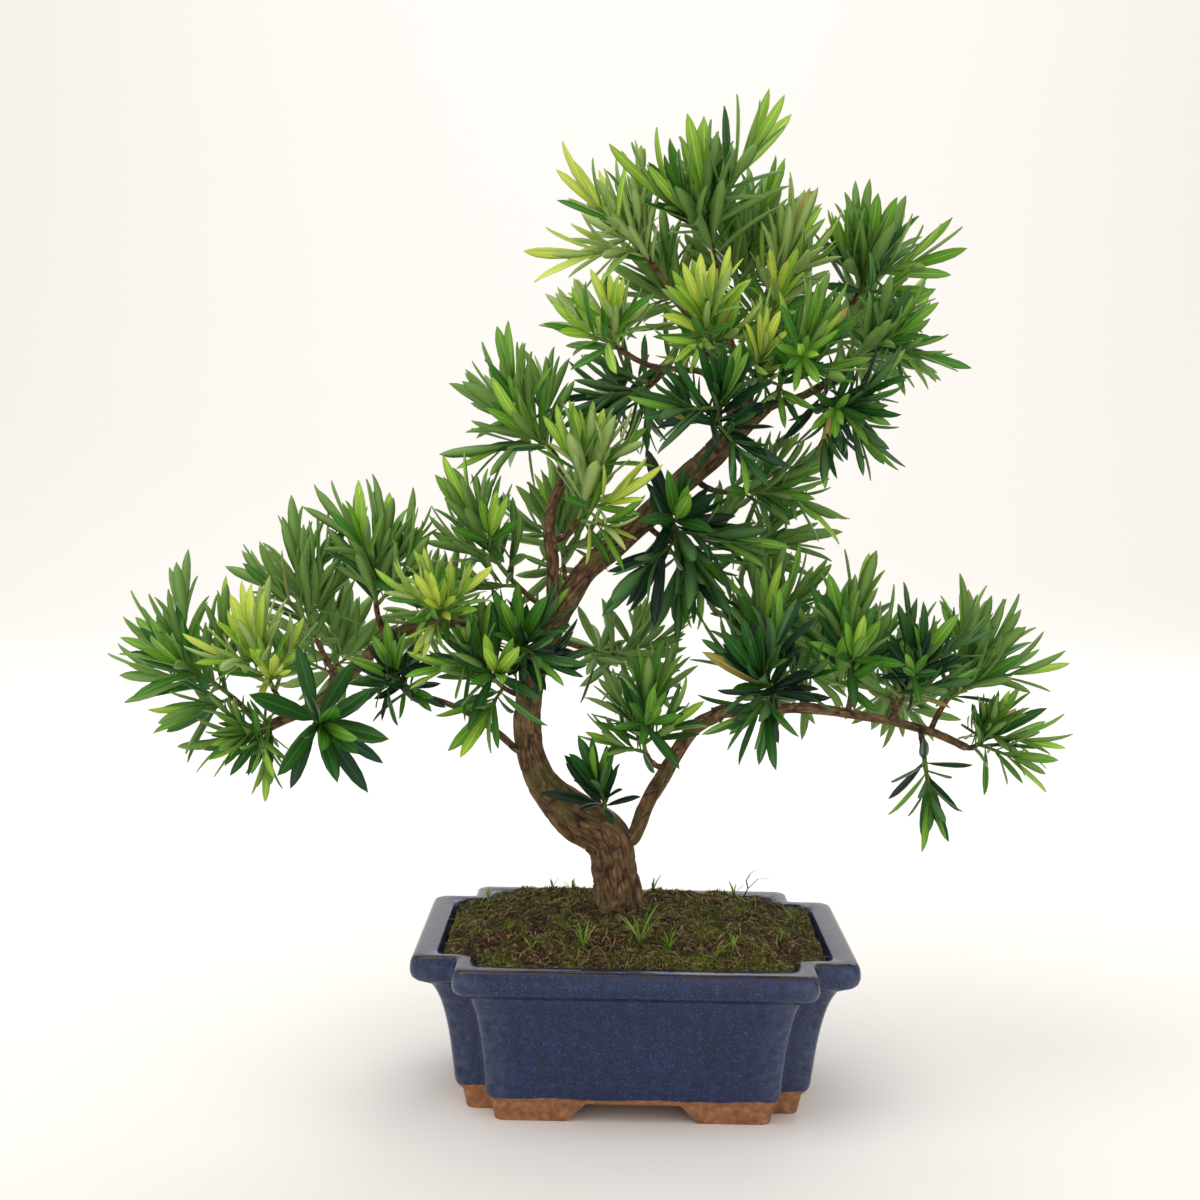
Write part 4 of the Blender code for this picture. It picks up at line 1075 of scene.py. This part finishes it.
# %% Twigs
TWIG_SIDES = 6
OLD_PART_OF_STEM, OLD_PART_OF_SHOOT = 0.45, 0.1
twig_wood, twig_wood_shader = new_material("twig_wood_scarred", Roughness=0.85, IOR=1.45)
place = add_node(twig_wood, "ShaderNodeTexCoord", output="Object")
scars = add_node(twig_wood, "ShaderNodeTexNoise", {
    "Vector": place, "Scale": scale_of(2.2), "Detail": 4.0, "Roughness": 0.55})
scars = add_node(twig_wood, "ShaderNodeValToRGB", {"Fac": scars}, stops=[
    (0.35, "#2b1d12"), (0.55, "#6a4a2e"), (0.72, "#94765a")])
twig_wood.node_tree.links.new(scars, twig_wood_shader.inputs["Base Color"])
twig_green = new_material("green_shoot", Base_Color=colour("#6f8a34"), Roughness=0.5)[0]


def tube_arrays(path, chance):
    """Points and faces of a knotted tube along rows of x, y, z and radius."""
    dense = smooth_path(path, 3)
    _, first, second = frames_along(dense[:, :3])
    angles = np.linspace(0.0, math.tau, TWIG_SIDES, endpoint=False)
    points = []
    for row, centre in enumerate(dense):
        knot = centre[3] * (1.0 + 0.22 * chance.random())
        for angle in angles:
            points.append(centre[:3] + (first[row] * math.cos(angle) + second[row] * math.sin(angle)) * knot)
    faces = []
    for row in range(len(dense) - 1):
        for step in range(TWIG_SIDES):
            after = (step + 1) % TWIG_SIDES
            base = row * TWIG_SIDES
            faces.append((base + step, base + after, base + TWIG_SIDES + after, base + TWIG_SIDES + step))
    last = len(points)
    points += [dense[0, :3], dense[-1, :3]]
    for step in range(TWIG_SIDES):
        after = (step + 1) % TWIG_SIDES
        top = (len(dense) - 1) * TWIG_SIDES
        faces.append((last, after, step, step))
        faces.append((last + 1, top + step, top + after, top + after))
    return points, faces, len(dense)


def joined_mesh(name, points, faces, marks, materials):
    """One mesh from many arrays, in place, with a material mark on each face."""
    mesh = bpy.data.meshes.new(name)
    places = np.array(points) * MM + np.array(POT)
    clean = [tuple(dict.fromkeys(int(corner) for corner in face)) for face in faces]
    mesh.from_pydata(places.tolist(), [], clean)
    mesh.polygons.foreach_set("material_index", np.array(marks, np.int32))
    mesh.update()
    for material in materials:
        mesh.materials.append(material)
    mesh.shade_smooth()
    item = bpy.data.objects.new(name, mesh)
    bpy.context.scene.collection.objects.link(item)
    return item


def add_arrays(points, faces, made, sides):
    """Append one piece's points and faces to the lists of a joined mesh."""
    shift = len(points)
    points += made
    faces += [tuple(corner + shift for corner in face) for face in sides]


leaf_total = 0
for region, names in REGIONS.items():
    leaf_places, leaf_face_list, leaf_marks = [], [], []
    twig_places, twig_faces, twig_marks = [], [], []
    for name in names:
        twigs, leaves = grow_mass(name)
        chance = random.Random(name + " shapes")
        for order, twig in enumerate(twigs):
            points, faces, rows = tube_arrays(twig, chance)
            add_arrays(twig_places, twig_faces, points, faces)
            wooden = OLD_PART_OF_STEM if order == 0 else OLD_PART_OF_SHOOT
            green_from = rows * wooden * TWIG_SIDES
            twig_marks += [0 if number < green_from else 1 for number in range(len(faces))]
        for leaf in leaves:
            add_arrays(leaf_places, leaf_face_list, leaf_points(leaf[:6], chance), LEAF_FACES.tolist())
            tone_name, age = leaf[6:]
            keys = (tone_name, "rib_" + tone_name, UNDERSIDES[age])
            leaf_marks += np.array([leaf_index[key] for key in keys])[LEAF_PARTS].tolist()
        leaf_total += len(leaves)
    leaves_piece = joined_mesh("leaves_" + region, leaf_places, leaf_face_list, leaf_marks, leaf_materials)
    settle(leaves_piece, "leaves_" + region, None, names)
    twigs_piece = joined_mesh("twigs_" + region, twig_places, twig_faces, twig_marks, [twig_wood, twig_green])
    settle(twigs_piece, "twigs_" + region, None, names)
print(leaf_total, "leaves in all")

# %% [markdown]
# Small growth on the soil: tan fibres of old roots and needles lying curled on the moss,
# crumbs of earth, and a few bright seedlings with narrow blades. They are small, so each
# kind is one joined mesh, placed by a seeded rule on the moss.

# %% Fibres, crumbs and seedlings
TRUNK_CLEARANCE = 15.0
FIBRES = 1500
CRUMBS = 900
MOSS_POINTS = 14000
FROND_RADIUS = 0.32
# Place, number of blades and height of each seedling.
SEEDLINGS = [(2, -47, 7, 25), (-23, -50, 6, 16), (-46, -49, 4, 9), (15, -50, 4, 11), (36, -53, 4, 9),
             (43, -50, 4, 9), (-58, -30, 3, 8), (-70, 20, 3, 9), (50, 40, 4, 10), (-40, 46, 4, 10),
             (10, 44, 3, 10), (76, 8, 3, 9), (-30, 50, 4, 9), (66, -30, 3, 8)]
DRY_TWIG = [
    [(55, 52, 74), (58, 52, 80), (63, 52, 85), (69, 51, 86)],
    [(58, 52, 80), (57, 52, 84), (59, 51, 88), (62, 51, 90)],
]
SMALL_FINISHES = {
    "dried_root_fibre": ("#b08f62", 0.85), "dark_root_fibre": ("#4a3320", 0.9),
    "moss_frond": ("#6f7426", 0.9), "crumb_of_earth": ("#3b2a1a", 0.95),
    "crumb_of_clay_grit": ("#7a6247", 0.95), "moss_frond_dark": ("#3f4a1a", 0.9),
    "moss_frond_bright": ("#8f9a3a", 0.9), "seedling_blade": ("#7fae35", 0.5),
}
FIBRE_WIDTHS = [0.5, 0.6, 0.6, 0.5, 0.25]
SEEDLING_WIDTHS = [0.5, 1.0, 1.0, 0.7, 0.15]
DRY_TWIG_WIDTHS = [0.7, 0.6, 0.5, 0.3]
(fibre_tan, fibre_dark, fibre_moss, crumb_brown, crumb_tan, moss_dark, moss_bright, seed_green) = [
    new_material(name, Base_Color=colour(code), Roughness=roughness)[0]
    for name, (code, roughness) in SMALL_FINISHES.items()]


def ground_at(x, y):
    """Height of the moss at one place."""
    return float(moss_height(np.array([float(x)]), np.array([float(y)]))[0])


def on_soil(chance, edge=0.97):
    """A chance place on the moss, off the trunk, as x and y."""
    while True:
        angle = chance.uniform(-math.pi, math.pi)
        reach = float(np.interp(angle, soil_angles, soil_reach)) * edge * math.sqrt(chance.random())
        x, y = reach * math.cos(angle), reach * math.sin(angle)
        if math.hypot(x - TRUNK_FOOT[0], y - TRUNK_FOOT[1]) > TRUNK_CLEARANCE:
            return x, y


def blade_arrays(path, widths, facing):
    """A three-sided blade along a path: two edges and a keel under them."""
    points = []
    for centre, wide in zip(path, widths):
        keel = centre - np.array([0.0, 0.0, wide * 0.35])
        points += [centre - facing * wide / 2, centre + facing * wide / 2, keel]
    faces = []
    for row in range(len(path) - 1):
        base = row * 3
        for step in range(3):
            after = (step + 1) % 3
            faces.append((base + step, base + after, base + 3 + after, base + 3 + step))
    faces.append((2, 1, 0, 0))
    top = len(points) - 3
    faces.append((top, top + 1, top + 2, top + 2))
    return points, faces


def scatter_fibres():
    """Fibres: short curled blades that rise in a low arch over the moss."""
    chance = random.Random("fibres")
    points, faces, marks = [], [], []
    for number in range(FIBRES):
        x, y = on_soil(chance)
        heading = chance.uniform(0.0, math.tau)
        curl = chance.uniform(-0.55, 0.55)
        step = chance.uniform(1.0, 2.6)
        path = []
        for part in range(5):
            ground = ground_at(x, y)
            path.append(np.array([x, y, ground + 0.5 + 0.7 * math.sin(math.pi * part / 4)]))
            x += step * math.cos(heading)
            y += step * math.sin(heading)
            heading += curl
        facing = np.array([-math.sin(heading), math.cos(heading), 0.0])
        made, sides = blade_arrays(path, FIBRE_WIDTHS, facing)
        add_arrays(points, faces, made, sides)
        marks += [chance.choice([0, 0, 1, 1, 2])] * len(sides)
    item = joined_mesh("soil_fibres", points, faces, marks, [fibre_tan, fibre_dark, fibre_moss])
    turn_outwards(item)
    return settle(item, "soil_fibres", None, None)


def scatter_crumbs():
    """Crumbs: one small block, roughened afresh for each copy."""
    chance = random.Random("crumbs")
    bm = bmesh.new()
    bmesh.ops.create_icosphere(bm, subdivisions=1, radius=1.0)
    block = np.array([vertex.co for vertex in bm.verts])
    block_faces = [tuple(vertex.index for vertex in face.verts) for face in bm.faces]
    bm.free()
    points, faces, marks = [], [], []
    for number in range(CRUMBS):
        x, y = on_soil(chance)
        size = chance.uniform(0.5, 1.6)
        ground = ground_at(x, y)
        rough = np.array([chance.uniform(0.7, 1.25) for _ in block])[:, None]
        squash = np.array([chance.uniform(0.8, 1.3), chance.uniform(0.8, 1.3), chance.uniform(0.5, 0.9)])
        crumb = block * rough * squash * size + np.array([x, y, ground + size * 0.2])
        add_arrays(points, faces, list(crumb), block_faces)
        marks += [chance.choice([0, 0, 1])] * len(block_faces)
    item = joined_mesh("soil_crumbs", points, faces, marks, [crumb_brown, crumb_tan])
    return settle(item, "soil_crumbs", None, None)


def grow_moss():
    """Moss: thousands of short upright points, in patches."""
    chance = random.Random("moss")
    xs, ys = np.array([on_soil(chance, 0.99) for _ in range(MOSS_POINTS)]).T
    patch = lattice_noise(np.column_stack([xs / 9.0, ys / 9.0, np.zeros(len(xs))]), 21)
    ground = moss_height(xs, ys)
    points, faces, marks = [], [], []
    for x, y, thick, z in zip(xs, ys, patch, ground):
        if thick < chance.uniform(-0.4, 0.4):
            continue
        tall = chance.uniform(0.8, 2.4)
        lean = chance.uniform(0.0, 0.9) * tall
        heading = chance.uniform(0.0, math.tau)
        shift = len(points)
        for side in range(3):
            turn = heading + math.tau * side / 3
            across = np.array([math.cos(turn), math.sin(turn), 0.0]) * FROND_RADIUS
            points.append(np.array([x, y, z - 0.4]) + across)
        points.append(np.array([x + lean * math.cos(heading), y + lean * math.sin(heading), z + tall]))
        faces += [(shift, shift + 1, shift + 3, shift + 3), (shift + 1, shift + 2, shift + 3, shift + 3),
                  (shift + 2, shift, shift + 3, shift + 3), (shift + 2, shift + 1, shift, shift)]
        marks += [chance.choice([0, 0, 1, 1, 2])] * 4
    item = joined_mesh("moss_points", points, faces, marks, [fibre_moss, moss_dark, moss_bright])
    return settle(item, "moss_points", None, None)


def grow_seedlings():
    """Seedlings: narrow blades that lean out from one root, and one dry forked twig."""
    chance = random.Random("seedlings")
    points, faces = [], []
    for x, y, blades, tall in SEEDLINGS:
        ground = ground_at(x, y)
        for number in range(blades):
            heading = chance.uniform(0.0, math.tau)
            lean = chance.uniform(0.15, 0.8)
            reach = tall * chance.uniform(0.6, 1.1)
            outward = np.array([math.cos(heading), math.sin(heading), 0.0])
            path = [np.array([x, y, ground - 0.5]) + np.array([0, 0, reach * part * (1 - 0.25 * lean * part)])
                    + outward * reach * lean * part ** 1.7 for part in (0.0, 0.3, 0.6, 0.85, 1.0)]
            facing = np.array([-outward[1], outward[0], 0.0])
            made, sides = blade_arrays(path, SEEDLING_WIDTHS, facing)
            add_arrays(points, faces, made, sides)
    green_faces = len(faces)
    for branch in DRY_TWIG:
        made, sides = blade_arrays(np.array(branch, float), DRY_TWIG_WIDTHS, np.array([1.0, 0.0, 0.0]))
        add_arrays(points, faces, made, sides)
    marks = [0] * green_faces + [1] * (len(faces) - green_faces)
    item = joined_mesh("seedlings", points, faces, marks, [seed_green, fibre_dark])
    turn_outwards(item)
    return settle(item, "seedlings", None, None)


scatter_fibres()
scatter_crumbs()
grow_moss()
grow_seedlings()

# %% [markdown]
# The stage is one pale sheet of paper, swept up behind the plant in a wide curve, so that
# no horizon shows. A large soft lamp hangs above and a little to the left, a weaker one
# fills from the front, and a pale sky lights the rest.

# %% Stage and light
SHEET = 6.0
SHEET_FORWARD = 0.6
SWEEP_HEIGHT = 5.0
SWEEP_ROUND = 1.6
SWEEP_STEPS = 24
EDGE_MARGIN = 0.1
SKY_STRENGTH = 0.70

paper, paper_shader = new_material("pale_backdrop_paper", Base_Color=colour("#fcf8f4"), Roughness=0.95)
place = add_node(paper, "ShaderNodeTexCoord", output="Object")
tooth = add_node(paper, "ShaderNodeTexNoise", {
    "Vector": place, "Scale": scale_of(3.0), "Detail": 3.0, "Roughness": 0.55})
bumped = add_node(paper, "ShaderNodeBump", {"Height": tooth, "Strength": 0.1, "Distance": 0.05 * MM})
paper.node_tree.links.new(bumped, paper_shader.inputs["Normal"])


def select_far_edge(item):
    """Select only the sheet's low far edge, in edit mode."""
    bpy.ops.mesh.select_all(action="DESELECT")
    bm = bmesh.from_edit_mesh(item.data)
    for edge_piece in bm.edges:
        edge_piece.select = all(vertex.co.y > SHEET / 2 - EDGE_MARGIN and vertex.co.z < EDGE_MARGIN
                                for vertex in edge_piece.verts)
    bmesh.update_edit_mesh(item.data)


deselect()
bpy.ops.mesh.primitive_plane_add(size=SHEET, location=(0.0, SHEET_FORWARD, 0.0))
sweep = bpy.context.object
sweep.name = "backdrop"
bpy.ops.object.mode_set(mode="EDIT")
bpy.ops.mesh.select_mode(type="EDGE")
select_far_edge(sweep)
bpy.ops.mesh.extrude_edges_move(TRANSFORM_OT_translate={"value": (0.0, 0.0, SWEEP_HEIGHT)})
select_far_edge(sweep)
bpy.ops.mesh.bevel(offset=SWEEP_ROUND, segments=SWEEP_STEPS, profile=0.5)
deselect()
sweep.data.shade_smooth()
sweep.data.materials.append(paper)
sweep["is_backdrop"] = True


def soft_lamp(name, place, target, size, power, code):
    """A square soft lamp, turned towards a target."""
    lamp = bpy.data.objects.new(name, bpy.data.lights.new(name, "AREA"))
    bpy.context.scene.collection.objects.link(lamp)
    lamp.data.size = size
    lamp.data.energy = power
    lamp.data.color = colour(code)[:3]
    lamp.location = place
    lamp.rotation_euler = (Vector(target) - Vector(place)).to_track_quat("-Z", "Y").to_euler()
    return lamp


soft_lamp("key_lamp", (-0.7, -0.5, 1.7), (0.0, 0.0, 0.2), 1.2, 10.5, "#fffcf8")
soft_lamp("back_lamp", (0.5, 1.3, 1.5), (0.0, 0.0, 0.25), 1.2, 7.5, "#fffefc")
soft_lamp("backdrop_lamp", (0.0, 1.3, 2.8), (0.0, 3.3, 1.2), 2.0, 25.0, "#ffffff")
soft_lamp("front_fill", (0.6, -1.6, 0.6), (0.0, 0.0, 0.2), 1.4, 2.5, "#fbfcff")
world = bpy.data.worlds.new("pale_sky")
world.use_nodes = True
world.node_tree.nodes["Background"].inputs["Color"].default_value = colour("#fffefd")
world.node_tree.nodes["Background"].inputs["Strength"].default_value = SKY_STRENGTH
bpy.context.scene.world = world
print("stage and light ready")

# %% [markdown]
# The box of the dressed scene, without the backdrop, is measured and printed.

# %% Measure and finish
low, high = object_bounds()
print("visual box", [round((h - l) / MM) for l, h in zip(low, high)])
